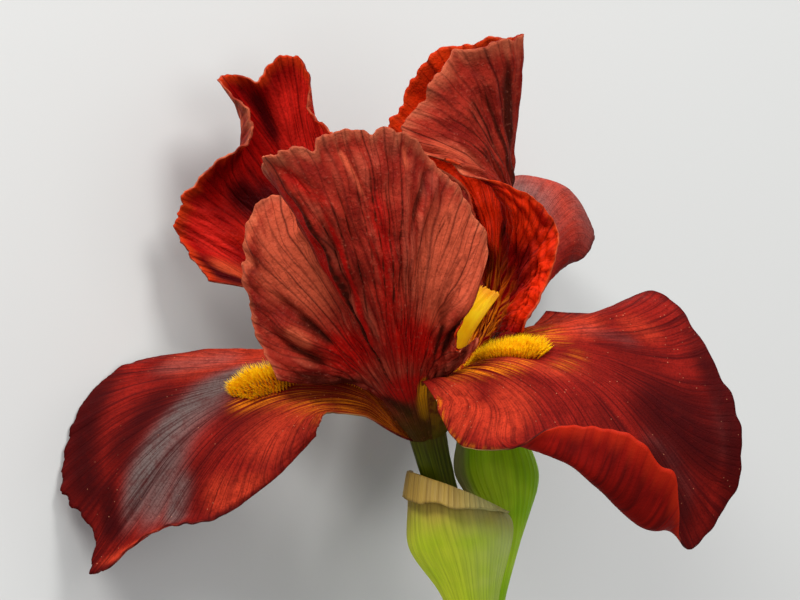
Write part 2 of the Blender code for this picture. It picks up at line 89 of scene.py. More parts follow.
# Each petal is a fan of rays from its claw. Its rows are the claw's mouth
# (left, middle and right) and then a point on every ray, at the belly, at the
# shoulder and on the margin. The azimuths run from the petal's first ray to
# its last, round the flower's axis, with 0 to the right and 90 to the back.
# Calm places are (across, width, share), notches are (across, width, depth) and
# creases are (points of (across, along), width in mm, height in mm). On a turned
# petal the two faces change sides.
FRONT_STANDARD = {
    "azimuths": (228, 282),
    "mouth": ((-9, 4, 8.5), (-5, 4.2, 11), (0.6, 5.2, 9.2)),
    "belly": (
        (-20.7, 7.6, 11), (-23.5, 16.5, 14), (-25.5, 24, 16), (-24.5, 29, 16.5), (-23, 33, 19.5),
        (-18, 31, 28.5), (-11.2, 33, 30), (-5.2, 33.7, 28), (0.8, 29, 24), (5.5, 20.5, 19),
        (5.2, 9.4, 14.5),
    ),
    "shoulder": (
        (-27.5, 7.5, 12), (-33.5, 21.5, 12), (-35, 31.5, 13), (-33.2, 38.5, 14), (-28.5, 43, 17),
        (-26.5, 45.5, 35), (-17.5, 50, 35), (-7.5, 51.5, 31), (4, 43.5, 24), (10.4, 26.5, 19),
        (9.4, 12.8, 17),
    ),
    "margin": (
        (-32, 8, 12), (-39, 25.5, 9), (-39.7, 37.5, 10), (-36.3, 46, 11), (-29.5, 50.5, 16),
        (-33.8, 55.3, 37), (-21.8, 60.4, 37), (-8.4, 62.3, 31), (6.8, 50.8, 22), (13.8, 34.5, 17),
        (11.8, 15.6, 17.5),
    ),
    "phase": 0.4,
    "calm": ((0.2, 0.16, 0.85), (0.82, 0.1, 0.7)),
    "ragged": 0.006,
    "notches": (
        (0.928, 0.044, 0.34), (0.522, 0.007, 0.022), (0.478, 0.005, 0.016), (0.602, 0.005, 0.01),
        (0.64, 0.008, 0.014), (0.25, 0.01, 0.015), (0.19, 0.008, 0.015), (0.13, 0.012, 0.02),
    ),
    "creases": (
        (((.465, .97), (.462, .8), (.45, .65), (.43, .5)), 0.7, 0.8),
        (((.485, .95), (.48, .8), (.468, .65), (.447, .5), (.44, .3)), 0.55, -0.8),
        (((.508, .95), (.5, .8), (.488, .65), (.47, .5), (.46, .3)), 0.7, 0.7),
        (((.535, .95), (.525, .8), (.51, .65), (.49, .5)), 0.6, -0.7),
        (((.56, .97), (.55, .8), (.535, .65), (.51, .5)), 0.8, 0.7),
        (((.7, .97), (.69, .85), (.665, .7)), 0.9, -1.1),
        (((.72, .97), (.71, .85), (.69, .7)), 1.1, 1),
        (((.63, .98), (.625, .85), (.61, .7)), 0.9, -0.9),
        (((.125, .84), (.12, .72), (.1, .58)), 1.7, 1.6),
        (((.175, .82), (.165, .66), (.14, .48)), 1.1, -1.5),
        (((.09, .88), (.075, .74), (.06, .6)), 1, -1.4),
        (((.05, .9), (.04, .78), (.04, .64)), 1.2, 0.8),
        (((.23, .97), (.21, .9)), 1, 0.9),
        (((.205, .97), (.19, .9)), 0.9, -0.9),
        (((.18, .97), (.165, .9)), 1, 0.9),
        (((.155, .97), (.145, .9)), 0.9, -0.8),
        (((.89, .8), (.905, .66), (.93, .5)), 1.1, -1.5),
        (((.86, .84), (.87, .68), (.88, .5)), 1.4, 1.3),
        (((.8, .62), (.86, .56), (.92, .52)), 0.9, -0.9),
        (((.94, .9), (.94, .75), (.96, .6)), 1.2, 1),
        (((.97, .92), (.965, .78), (.98, .6)), 1, -0.8),
        (((.84, .7), (.84, .56), (.84, .42)), 1.2, -0.8),
    ),
}
LEFT_STANDARD = {
    "azimuths": (162, 108),
    "mouth": ((-9, 10.5, -3), (-7, 11.5, -5), (-4.6, 11.5, -5)),
    "belly": (
        (-30, 24, -10), (-34.8, 30, -15), (-36.6, 40.2, -20), (-34.8, 51.5, -24), (-30.8, 55.9, -27),
        (-29.4, 56.1, -27.3), (-28.2, 56.2, -27.6), (-27, 56, -27.8), (-25.5, 55.5, -28),
        (-22.3, 53.7, -28), (-17.8, 50, -25), (-13.6, 44, -21), (-10.6, 37.5, -17), (-7, 31, -13.5),
    ),
    "shoulder": (
        (-39, 29, -11), (-46.5, 36.5, -14), (-46.5, 47.5, -17), (-41.4, 62.2, -18.3), (-39.6, 68.9, -20.2),
        (-37.4, 69.6, -21.6), (-34.6, 69.9, -22.8), (-32.4, 71.6, -23.7), (-29.6, 72.6, -24.5),
        (-26.5, 69.5, -24), (-22.5, 62.5, -23), (-17, 55, -20), (-11, 44, -16), (-7.9, 35.5, -14),
    ),
    "margin": (
        (-48.4, 30.8, -9), (-54.9, 41, -12), (-53, 52, -11), (-39.2, 67.3, -8.4), (-46.2, 76.6, -11.5),
        (-42.8, 77.4, -14.6), (-37.8, 76.2, -17.2), (-35.7, 80.6, -18.8), (-31.2, 82.6, -20),
        (-26.9, 79.5, -20), (-26, 70, -20), (-19.9, 64.3, -18), (-12, 51.5, -15), (-8.5, 39.5, -13.5),
    ),
    "phase": 2.1,
    "crumple": (0.2, 0.2, 0.1),
    "turned": True,
}
RIGHT_STANDARD = {
    "azimuths": (42, -12),
    "mouth": ((9, 13.5, -7), (12, 15.2, -5), (12, 13, -0.5)),
    "belly": (
        (11.5, 27, -7), (13, 31.5, -8), (14.5, 35, -9), (16, 37, -9), (17, 38, -9), (18, 38.5, -8),
        (18.8, 38, -6), (19, 37, -4), (19, 36, -2), (19.2, 34.5, 0), (19.6, 33, 1), (20, 31, 2),
        (20.5, 28.5, 4), (20.2, 24.5, 5.5), (16.8, 18.6, 7),
    ),
    "shoulder": (
        (12.8, 34, -6), (11, 42.5, -10), (9, 50, -13), (11, 56.5, -14), (15, 60, -12), (19.5, 62, -5),
        (17.5, 61.5, 3), (14.5, 58, 8), (14, 53.5, 10), (16.5, 50, 11), (19.5, 46.5, 10), (22.5, 42.5, 8),
        (25, 37, 7), (24.5, 29.5, 7.5), (19.6, 18.8, 9),
    ),
    "margin": (
        (13.4, 37.5, -5), (7, 52.5, -9), (-7.2, 64.3, -11), (-4.5, 72.5, -10), (3.6, 82.4, -6),
        (20.8, 84.6, 3), (8.5, 80.5, 11), (-1.5, 69, 14), (-4.4, 61.5, 15), (3.5, 56, 15), (13.4, 53, 14),
        (23.5, 48.8, 11), (29.4, 40.6, 9), (27, 28.4, 9.5), (21.2, 18.9, 10),
    ),
    "phase": 4,
    "ragged": 0.006,
    "crumple": (0.6, 0.55, 0.25),
    "turned": True,
}
LEFT_FALL = {
    "azimuths": (168, 222),
    "mouth": ((-17.5, 12.5, -2), (-18.5, 7, 3.5), (-17.5, 1, 10.5)),
    "belly": (
        (-34, 15.3, -5), (-41.5, 13.8, -5), (-47.5, 10.8, -1), (-51, 6.5, 3), (-52, 1.5, 8),
        (-51.3, -1.2, 10.2), (-50, -3.5, 12), (-46.5, -7, 15), (-41, -8, 17.5), (-32, -4.5, 18),
        (-22.5, -0.5, 15),
    ),
    "shoulder": (
        (-40, 15.5, -7), (-52, 14.3, -8), (-62, 10, -5), (-67.5, 1.5, 0), (-68, -10, 6),
        (-66.5, -16.8, 8.4), (-64, -21.5, 10), (-57.5, -23, 14), (-47, -20, 18), (-35, -13, 20.5),
        (-23.5, -2.5, 16.5),
    ),
    "margin": (
        (-44.6, 15.5, -9), (-59.2, 13.7, -12), (-72.5, 8.4, -9), (-79.6, -6.5, -3), (-77.6, -20, 3),
        (-72.2, -26.8, 6.8), (-73.4, -34, 9), (-61, -26, 17.5), (-47.7, -22.4, 20), (-34.8, -15, 20.5),
        (-23.5, -4, 16.5),
    ),
    "phase": 1.3,
    "crumple": (0.1, 0.05, 0.03),
    "ruffle": 0.45,
    "frill": 0.14,
    "ragged": 0.003,
    "turned": True,
}
RIGHT_FALL = {
    "azimuths": (342, 288),
    "mouth": ((17.5, 15.5, 2), (10.6, 11.4, 9), (-0.6, 7.2, 11.8)),
    "belly": (
        (22.4, 19.2, 1.2), (29, 21.2, 3), (35.6, 20.4, 7), (40.8, 16, 12), (43.8, 8.7, 18), (43, 4.8, 22),
        (40.2, 2.2, 26), (35.7, -0.5, 30), (30.3, 0, 32), (23.8, 0.6, 32), (17.3, 1.7, 30), (11, 3.6, 25),
        (2.4, 4.2, 18.5),
    ),
    "shoulder": (
        (25.6, 21.6, -1.2), (37, 23.5, -1), (49, 24.5, 2), (56.5, 15.5, 9), (61.5, -2, 17), (60, -16, 21),
        (53, -22, 27), (48.5, -23.5, 34), (39, -14, 40), (28.5, -8.2, 43), (17.8, -5, 40), (10.5, -2, 32.5),
        (3.2, 3, 20.8),
    ),
    "margin": (
        (27, 23.6, -3), (39.3, 24.3, -6), (52.6, 27, -4), (61.1, 17.3, 4), (69.3, -3.1, 13),
        (65, -21.2, 17), (56, -28.2, 25), (54, -15, 36), (43, -3.9, 41), (31.1, -1.3, 43.5),
        (19.5, -5.5, 43), (8.8, -6.2, 34), (3.8, 1.6, 22.2),
    ),
    "phase": 3.2,
    "crumple": (0.12, 0.06, 0.03),
    "ruffle": 0.8,
    "frill": 0.2,
    "ragged": 0.004,
}
BACK_FALL = {
    "azimuths": (102, 48),
    "mouth": ((1, 7.2, -19.5), (6, 8.2, -18), (11, 6.2, -16)),
    "belly": (
        (0.5, 21, -31), (5, 28, -33.5), (10.5, 32.5, -35), (16, 34, -36), (20.5, 32, -35.5),
        (23, 28.5, -34), (24, 24.5, -31),
    ),
    "shoulder": (
        (-4.5, 31, -42), (1.5, 44, -46.5), (12.5, 53, -50.5), (24, 56.5, -52.5), (33, 53, -51.5),
        (35.5, 43.5, -46), (30.5, 33, -38),
    ),
    "margin": (
        (-8.5, 37, -50), (-4.5, 48, -57), (8, 54, -64), (24, 51, -69.5), (37.5, 48, -66), (39.5, 41, -55),
        (33, 35, -45),
    ),
    "phase": 5.1,
    "crumple": (0.08, 0.03, 0.02),
    "ruffle": 0.4,
    "frill": 0.1,
    "ragged": 0.002,
}
PETALS = {
    "standard_front": FRONT_STANDARD,
    "standard_left": LEFT_STANDARD,
    "standard_right": RIGHT_STANDARD,
    "fall_left": LEFT_FALL,
    "fall_right": RIGHT_FALL,
    "fall_back": BACK_FALL,
}

# Painted strokes on each petal: points of (across, along), the width in mm and the
# strength, for the four masks that the finishes read.
MASKS = ("warm", "pale", "dark", "red")
SHADES = {
    "standard_front": {
        "dark": (
            (
                ((.462, .98), (.462, .88), (.458, .75), (.447, .6), (.437, .45), (.44, .3), (.48, .1)),
                0.55, .95,
            ),
            (((.485, .97), (.48, .8), (.468, .65), (.452, .5), (.45, .3)), 0.3, .8),
            (((.51, .9), (.505, .78), (.49, .64), (.468, .46)), 0.28, .7),
            (((.535, .97), (.527, .82), (.512, .66), (.49, .5), (.47, .3)), 0.32, .8),
            (((.56, .93), (.555, .78), (.536, .6), (.505, .4)), 0.26, .7),
            (((.59, .95), (.583, .78), (.562, .58), (.53, .4)), 0.28, .75),
            (((.615, .92), (.61, .76), (.59, .57), (.56, .36)), 0.32, .75),
            (((.65, .95), (.642, .78), (.62, .6), (.59, .45)), 0.28, .7),
            # This stroke darkens the groove of the crease at (.7, .97): painted shade.
            (((.7, .96), (.69, .84), (.667, .7)), 1, .6),
            (((.72, .9), (.7, .72), (.67, .5)), 0.25, .6),
            (((.76, .93), (.745, .76), (.71, .56)), 0.22, .5),
            (((.4, .95), (.402, .8), (.4, .62), (.41, .4)), 0.24, .5),
            (((.33, .9), (.35, .7), (.38, .5)), 0.22, .45),
            (((.98, .93), (.985, .8), (.99, .6), (.99, .4)), 1.6, .6),
            # This stroke darkens a crease groove low on the right: painted shade.
            (((.89, .7), (.91, .6), (.95, .52)), 0.9, .8),
            (((.86, .62), (.88, .5), (.93, .4)), 0.7, .7),
            (((.01, .97), (.01, .7), (.02, .45), (.1, .3)), 1.9, .7),
            # These two strokes darken the grooves of the creases on the left: painted shade.
            (((.16, .74), (.15, .6), (.14, .5)), 1, .65),
            (((.08, .84), (.07, .72), (.06, .6)), 0.9, .65),
            (((.1, .2), (.3, .12), (.5, .05)), 2, .7),
        ),
        "red": (
            (((.44, .98), (.442, .88), (.44, .78), (.43, .68), (.418, .56), (.41, .45)), 2.1, 1),
            (((.497, .88), (.49, .74), (.48, .6), (.466, .45), (.46, .3)), 0.6, .9),
            (((.475, .97), (.48, .9), (.505, .8)), 2, .55),
            (((.6, .85), (.585, .7), (.56, .5), (.53, .35)), 4, .5),
            (((.6, .42), (.7, .4), (.8, .42)), 7, .8),
            (((.35, .35), (.22, .4), (.1, .45)), 6, .8),
            (((.5, .2), (.7, .2)), 5, .9),
        ),
        "pale": (
            (((.36, .96), (.31, .86), (.27, .7), (.25, .5)), 7.5, .95),
            (((.8, .64), (.8, .5)), 5, .7),
            (((.3, .97), (.22, .97), (.15, .96)), 2, .7),
            (((.2, .88), (.17, .75)), 4, .5),
            (((.12, .76), (.105, .66)), 1.8, .95),
            (((.55, .98), (.56, .88), (.572, .76)), 0.8, .65),
            (((.65, .98), (.655, .88)), 1, .55),
            (((.78, .96), (.79, .8), (.77, .62)), 8.5, .9),
            (((.92, .97), (.88, .93), (.83, .97)), 5, 1),
            (((.86, .9), (.87, .78)), 5, .8),
        ),
        "warm": ((((.84, 0), (.88, .08), (.92, .2), (.94, .3)), 1.4, 1),),
    },
    "standard_left": {
        "dark": (
            (((.35, .6), (.42, .6), (.5, .55)), 9, .9),
            (((.28, .85), (.3, .75), (.36, .68)), 6, .7),
            (((.49, .95), (.49, .86), (.46, .75)), 2.6, .7),
            (((.01, .8), (.03, .95), (.07, .985)), 1.5, .8),
        ),
        # On the inner face these strokes paint the orange glow of light coming through the petal.
        "warm": (
            (((.12, .9), (.17, .8), (.22, .7)), 5, .25),
            (((.8, .98), (.76, .9)), 3, .6),
        ),
        "red": (
            (((.6, .97), (.64, .8), (.66, .6)), 9, 1),
            (((.72, .97), (.74, .85)), 6, .9),
            (((.3, .9), (.26, .7), (.24, .5)), 8, .45),
            (((.2, .95), (.15, .9), (.12, .8)), 5, .5),
        ),
        "pale": (
            (((.06, .95), (.05, .85), (.04, .7)), 4, .6),
            (((.44, .99), (.4, .95), (.365, .93)), 1.5, .8),
        ),
    },
    "standard_right": {
        "dark": (
            (((.44, .98), (.44, .85), (.45, .65), (.46, .5)), 2.2, .85),
            (((.48, .95), (.475, .8), (.47, .66)), 0.5, .8),
            (((.505, .93), (.5, .8), (.49, .66)), 0.4, .75),
            (((.53, .95), (.52, .8), (.505, .64)), 0.4, .75),
            (((.555, .93), (.54, .78), (.52, .62)), 0.35, .7),
            (((.58, .95), (.565, .8), (.54, .64)), 0.35, .7),
            (((.5, .9), (.53, .86)), 2, .45),
            (((.55, .8), (.57, .76)), 1.6, .45),
            (((.8, .75), (.82, .6), (.85, .5)), 4, .5),
            (((.9, .35), (.7, .3), (.5, .3)), 5, .6),
        ),
        # Painted light: these strokes brighten the inner face, which lies in shade, to an orange glow.
        "warm": (
            (((.72, .95), (.74, .8), (.76, .65)), 5, .8),
            (((.83, .95), (.9, .9), (.96, .9)), 3, .7),
            (((.8, .92), (.86, .85), (.93, .78)), 5, .6),
            (((.94, .82), (.96, .68)), 4, .8),
            (((.15, .95), (.22, .97), (.3, .97), (.38, .97)), 5, .8),
            (((.22, .95), (.21, .85), (.21, .74), (.25, .64), (.34, .55), (.5, .5)), 4.5, .9),
        ),
        "pale": ((((.6, .97), (.62, .88), (.6, .8)), 4, .5),),
    },
    "fall_left": {
        # Painted sheen: these pale strokes lay the grey-mauve reflection of the sky on the velvet.
        "pale": (
            (((.2, .36), (.26, .46), (.34, .57), (.43, .67), (.5, .77), (.54, .86), (.56, .92)), 4.5, 1),
            (((.3, .45), (.42, .6), (.52, .72), (.58, .82), (.62, .9)), 6, .75),
            (((.6, .7), (.65, .8), (.68, .88)), 4, .75),
            (((.1, .6), (.15, .68), (.18, .78), (.21, .9)), 4.5, .45),
        ),
        "red": (
            (((.05, .45), (.1, .6), (.15, .72), (.2, .86)), 7, 1),
            (((.76, .3), (.8, .45), (.83, .6), (.83, .75)), 7, .7),
            (((.76, .7), (.78, .85), (.9, .85)), 4.5, .8),
            (((.545, .985), (.6, .965), (.65, .97), (.7, .985)), 1.7, 1),
        ),
        "dark": (
            (((.16, .98), (.25, .97), (.33, .96), (.42, .95), (.48, .92)), 6, .9),
            (((.44, .88), (.5, .93), (.56, .9)), 3.5, .9),
            (((.63, .5), (.65, .65), (.66, .8)), 2, .5),
            (((.3, .7), (.38, .8), (.43, .9)), 5.5, .75),
            (((.9, .97), (.8, .985), (.74, .99)), 1, .7),
        ),
        "warm": (
            (((.6, .16), (.7, .2), (.85, .25)), 4, .8),
            (((.66, .28), (.74, .34), (.85, .4)), 4, .55),
            (((.45, .3), (.6, .36), (.75, .4)), 4, .5),
            (((.52, .55), (.58, .48), (.64, .38)), 2.2, .7),
        ),
    },
    "fall_right": {
        # Painted sheen: these pale strokes lay the mauve reflection of the sky on the velvet.
        "pale": (
            (((.3, .97), (.36, .95), (.4, .93)), 5, .3),
            (((.48, .7), (.47, .8), (.5, .92)), 5, .4),
            (((.14, .55), (.2, .66), (.24, .76)), 3, .3),
        ),
        "red": (
            # Painted light: this stroke brightens the fall's top edge where the right standard shades it.
            (((.01, .3), (.03, .5), (.06, .7), (.1, .9)), 6, 1),
            (((.13, .42), (.15, .55), (.16, .7)), 5, 1),
            (((.66, .36), (.6, .46), (.55, .55)), 3, .8),
            (((.9, .7), (.92, .85), (.94, .95)), 5, 1),
            (((.16, .75), (.22, .82)), 4, .6),
            (((.75, .45), (.8, .6), (.84, .75), (.86, .9)), 6, .85),
            (((.95, .4), (.95, .7), (.97, .95)), 5, .9),
            (((.5, .45), (.46, .56)), 5, .4),
        ),
        "dark": (
            (((.4, .7), (.38, .8), (.42, .95)), 11, .8),
            (((.2, .97), (.26, .97), (.33, .97), (.4, .97), (.46, .97)), 5, .8),
            (((.56, .6), (.56, .75)), 5, .5),
            (((.5, .72), (.49, .82), (.5, .96)), 7, .8),
        ),
        "warm": (
            (((.6, .3), (.7, .32), (.8, .35)), 3.5, .95),
            (((.1, .34), (.16, .44), (.26, .5)), 2.2, .7),
            (((.3, .5), (.45, .5), (.55, .48)), 2.2, .35),
            (((.56, .44), (.64, .44), (.72, .4), (.8, .36)), 2.2, .85),
            (((.84, 1), (.92, 1), (1, .98), (1, .8), (1, .6)), 0.8, .9),
        ),
    },
    "fall_back": {
        # Painted sheen: these pale strokes lay the mauve-grey reflection of the sky on the velvet.
        "pale": (
            (((.3, .55), (.45, .68), (.6, .75)), 14, .8),
            (((.45, .9), (.65, .92), (.85, .9)), 14, .55),
        ),
        "red": (
            (((.2, .85), (.5, .85), (.8, .85)), 18, 1),
            (((.4, .6), (.6, .6)), 14, .7),
        ),
    },
}

# Style arms: the azimuth they leave the tube at, the rest of their middle line out
# to the crest, the way across, and the half width at each point of the line. Then how
# far their sides bend down, their midrib's height and its width as a share of the arm's,
# how torn the crest is and how far it curls.
STYLE_HALF_WIDTHS = (1.2, 2.8, 4.6, 5, 4)
STYLE_RING = 1.6
STYLE_ARMS = {
    "left": (
        190, ((-7.5, 9.5, 2), (-13.5, 16.5, 3), (-20, 21, 3), (-23.5, 26.5, 1)), (0.35, 0.45, -0.8)
    ),
    "right": (
        315, ((3.4, 9.4, 3.6), (5.4, 17.8, 6.2), (8.8, 24.4, 8), (13.2, 28.8, 8)), (0.88, -0.45, 0.15)
    ),
    "back": (
        75, ((1.5, 11, -5.5), (3, 19.5, -10.5), (5, 26, -16), (6, 32, -19)), (0.95, 0.1, 0.2)
    ),
}
STYLE_BOW = 1.6
STYLE_RIDGE, STYLE_RIDGE_WIDTH = 0.35, 0.08
STYLE_TEAR = 0.012
STYLE_CURL = 0.2

# The round pieces, in so many rings. The throat, the tube and the ovary are stated by
# how far down from the throat's top they are, and their radius there.
ROUND_ROWS = 90
TUBE_STATIONS = (
    (0, 2.6), (0.8, 3.9), (3, 4.5), (5.5, 4.5), (7.7, 4.4), (11.5, 4.1), (19.5, 3.7), (25.5, 3.6),
    (31.5, 3.9), (41.5, 4), (51.5, 3.4), (56, 3),
)
TUBE_LINE = (
    (-1.1, 5.1, 1.85), (0, 0, 0), (1.3, -6, -2.2), (4.5, -18, -6.6), (8.4, -33, -12.2), (12.2, -49, -18.2),
)
TUBE_SIDES = 72
TUBE_RIBS = 6
TUBE_RIB_HEIGHT = 0.25
TUBE_ROUGH = 0.04

# The stem's middle line and radii, from the flower down to the cut end.
STEM_LINE = (
    (12.3, -49.4, -18.3), (15.5, -65, -24), (20, -90, -34), (23.5, -118, -46), (25.5, -140, -56),
)
STEM_RADII = (3.6, 3.8, 4, 4.2, 4.3)
STEM_SIDES = 64
STEM_ROUGH = 0.05

# The two sheathing bracts: rows of points round the tube, from the node up.
FRONT_BRACT = (
    ((8.3, -50, -20.8), (7.6, -50, -17), (10.4, -49.6, -13.9), (14.6, -49.6, -14.2), (16.3, -50, -15.9)),
    ((5.2, -38, -18), (3, -38, -12), (7.5, -37, -6.8), (14, -37, -6.8), (17, -38, -10)),
    ((-1.5, -28, -14), (-3.2, -28.5, -7), (4.5, -27.5, 0.5), (14, -27, 0.2), (19.4, -28, -5.5)),
    ((-2.4, -20, -11), (-3.4, -20, -5), (3, -20, 2.4), (13, -21.5, 1.6), (19.4, -22.8, -4.5)),
    ((-2.6, -12, -9), (-3.5, -12, -3.6), (3, -14.2, 2.2), (12, -17.8, 1.4), (18, -20.8, -4.2)),
    ((-3.6, -16.5, -10), (-4.4, -17.8, -3), (2.8, -19, 4.8), (12.4, -20, 4.2), (18.9, -20.9, -1.9)),
)
BACK_BRACT = (
    (
        (16.9, -50.2, -17.8), (17.2, -50.2, -19.8), (15.6, -50.2, -22.2), (12.5, -50.2, -23.3),
        (9.4, -50.2, -22.6),
    ),
    ((14.6, -38, -12.8), (17.2, -38, -14.2), (18.6, -38, -18), (14, -38, -22.5), (8.5, -38, -20.8)),
    ((13, -28, -8.6), (18.4, -28, -9.8), (21.4, -28, -15.5), (16.5, -28, -21.8), (9, -28, -18.4)),
    ((11.2, -20, -6), (18, -20, -7.2), (24, -20, -13), (18.5, -20, -20), (9.8, -20, -16.2)),
    ((7.2, -13, -9.6), (16.4, -12, -5.4), (25.4, -12, -11.5), (19.5, -12, -18), (10.8, -12.5, -14)),
    ((7.4, -5, -7.5), (15.4, -4, -5.6), (22, -3.5, -9.5), (18.5, -4, -14.5), (12, -4.5, -11.5)),
)
BRACT_RIBS, BRACT_RIB_HEIGHT = 30, 0.03
BRACT_TEAR = 0.005
BRACT_CRUMPLE = 0.12

# Stamens: the filament's foot, and how far the anther lies under its style arm.
STAMEN_RING = 3.35
STAMEN_DROP = 2.2
STAMEN_ROWS = 60
STAMEN_SIDES = 14
STAMEN_ROUGH = 0.03
FILAMENT_RADIUS = 0.4
ANTHER_RADIUS = 1.1
ANTHER_GROOVE = 0.08

# Beards: the half width, the length that every hair has and what full growth adds to
# it, how far hairs lean out at the beard's sides and at its end, and how far they stray.
# Then for each fall the place across it, the stretch along it that the beard covers, how
# full the beard is at its inner end, as a share of its outer end, and where it has grown full.
BEARD_HALF_WIDTH = 3.0
HAIR_BASE = 0.5
HAIR_GROWTH = 3.5
HAIR_LEAN_SIDEWAYS, HAIR_LEAN_AHEAD = 0.55, 0.6
HAIR_STRAY_SIDEWAYS, HAIR_STRAY_AHEAD = 0.12, 0.1
HAIR_COUNT = 3800
HAIR_RADIUS = 0.15
BEARDS = {
    "left": (0.43, (0.18, 0.54), 0.12, 0.72),
    "right": (0.45, (0.205, 0.44), 0.4, 0.4),
    "back": (0.5, (0.18, 0.5), 0.4, 0.5),
}

# The camera's place and aim in the flower's millimetres, its lens and its sensor in mm,
# and how near and how far it sees, in metres.
CAMERA_PLACE = (0, 0, 1000)
CAMERA_AIM = (-5.33, 26.22, 0)
CAMERA_LENS = 202.5
CAMERA_SENSOR = 36
CAMERA_CLIP = (0.05, 60)

# The lamps: the way each one stands from the blossom, how far off in mm, how wide in
# metres, and its power in watts. The floor's half width is in metres too.
LAMP_AIM = (0, 20, 0)
LAMPS = {
    "key": ((-0.42, 0.88, 0.55), 1100, 0.4, 11.5),
    "second": ((0.55, 0.85, 0.5), 1100, 0.4, 6.5),
    "fill": ((0.6, 0.1, 1), 1200, 0.8, 3),
    "back": ((0.2, 1, -0.35), 1000, 0.5, 3),
}
SKY_COLOUR = (0.93, 0.95, 1, 1)
SKY_STRENGTH = 0.42
FLOOR_HALF_WIDTH = 8


def spline_weights(knots, samples):
    """Weights that turn values at the knots into a natural cubic spline at each sample."""
    count = len(knots)
    gaps = np.diff(knots)
    bend = np.eye(count)
    rise = np.zeros((count, count))
    for i in range(1, count - 1):
        before, after = gaps[i - 1], gaps[i]
        bend[i, i - 1 : i + 2] = before, 2 * (before + after), after
        rise[i, i - 1 : i + 2] = 6 / before, -6 / before - 6 / after, 6 / after
    curvature = np.linalg.solve(bend, rise)
    span = np.clip(np.searchsorted(knots, samples, side="right") - 1, 0, count - 2)
    width = gaps[span][:, None]
    left = (np.take(knots, span + 1) - samples)[:, None] / width
    right = 1 - left
    at = np.eye(count)
    return (
        left * at[span]
        + right * at[span + 1]
        + (left**3 - left) * width**2 / 6 * curvature[span]
        + (right**3 - right) * width**2 / 6 * curvature[span + 1]
    )


def chord_knots(points, axis):
    """Knots from 0 to 1 spaced by the mean distance between neighbouring rows or columns."""
    steps = np.linalg.norm(np.diff(points, axis=axis), axis=2).mean(axis=1 - axis)
    knots = np.concatenate(([0.0], np.cumsum(steps)))
    return knots / knots[-1]


def round_the_axis(azimuth, radius, height):
    """The point at this azimuth, radius and height about the flower's own axis."""
    across = np.array((1.0, 0, 0)) - AXIS[0] * AXIS
    across /= np.linalg.norm(across)
    back = np.cross(AXIS, across)
    turn = math.radians(azimuth)
    return radius * (math.cos(turn) * across + math.sin(turn) * back) + height * AXIS


def bow(left, middle, right, count):
    """Count points on the parabola through three points."""
    left, middle, right = (np.asarray(p, float) for p in (left, middle, right))
    t = np.linspace(0, 1, count)[:, None]
    return left * (1 - t) * (1 - 2 * t) + middle * 4 * t * (1 - t) + right * t * (2 * t - 1)


def petal_net(petal):
    """Rows of points from the claw's foot on the tube out to the margin."""
    count = len(petal["margin"])
    middle = sum(petal["azimuths"]) / 2
    half = math.copysign(CLAW_HALF_ANGLE, petal["azimuths"][1] - petal["azimuths"][0])
    turns = np.linspace(middle - half, middle + half, count)
    foot = [round_the_axis(turn, CLAW_RING, SEAT_GAP) for turn in turns]
    return [foot, bow(*petal["mouth"], count), petal["belly"], petal["shoulder"], petal["margin"]]


def surface_points(net, across, along):
    """Points of the smooth surface through a net, at two arrays of parameters."""
    net = np.asarray(net, float)
    by_row = spline_weights(chord_knots(net, 0), np.ravel(along))
    by_column = spline_weights(chord_knots(net[1:], 1), np.ravel(across))
    points = np.einsum("nc,nr,rcx->nx", by_column, by_row, net, optimize=True)
    return points.reshape(*np.shape(across), 3)


def ripples(across, along, reach, seed, count=RIPPLES):
    """Smooth irregular waves, mostly between -1 and 1, over two arrays of parameters."""
    draw = np.random.default_rng(seed)
    total = 0
    for _ in range(count):
        a, b = draw.normal(0, 1, 2) * reach
        total = total + np.sin(2 * math.pi * (a * across + b * along + draw.random()))
    return total / math.sqrt(count)


def smooth(value, low, high):
    """A soft step from 0 at low to 1 at high."""
    t = np.clip((value - low) / (high - low), 0, 1)
    return t * t * (3 - 2 * t)


# The finishes.

def hue(red, green, blue):
    """A colour from its 0 to 255 screen values."""
    parts = []
    for part in (red, green, blue):
        part /= 255
        parts.append(part / 12.92 if part <= 0.04045 else ((part + 0.055) / 1.055) ** 2.4)
    return (*parts, 1.0)


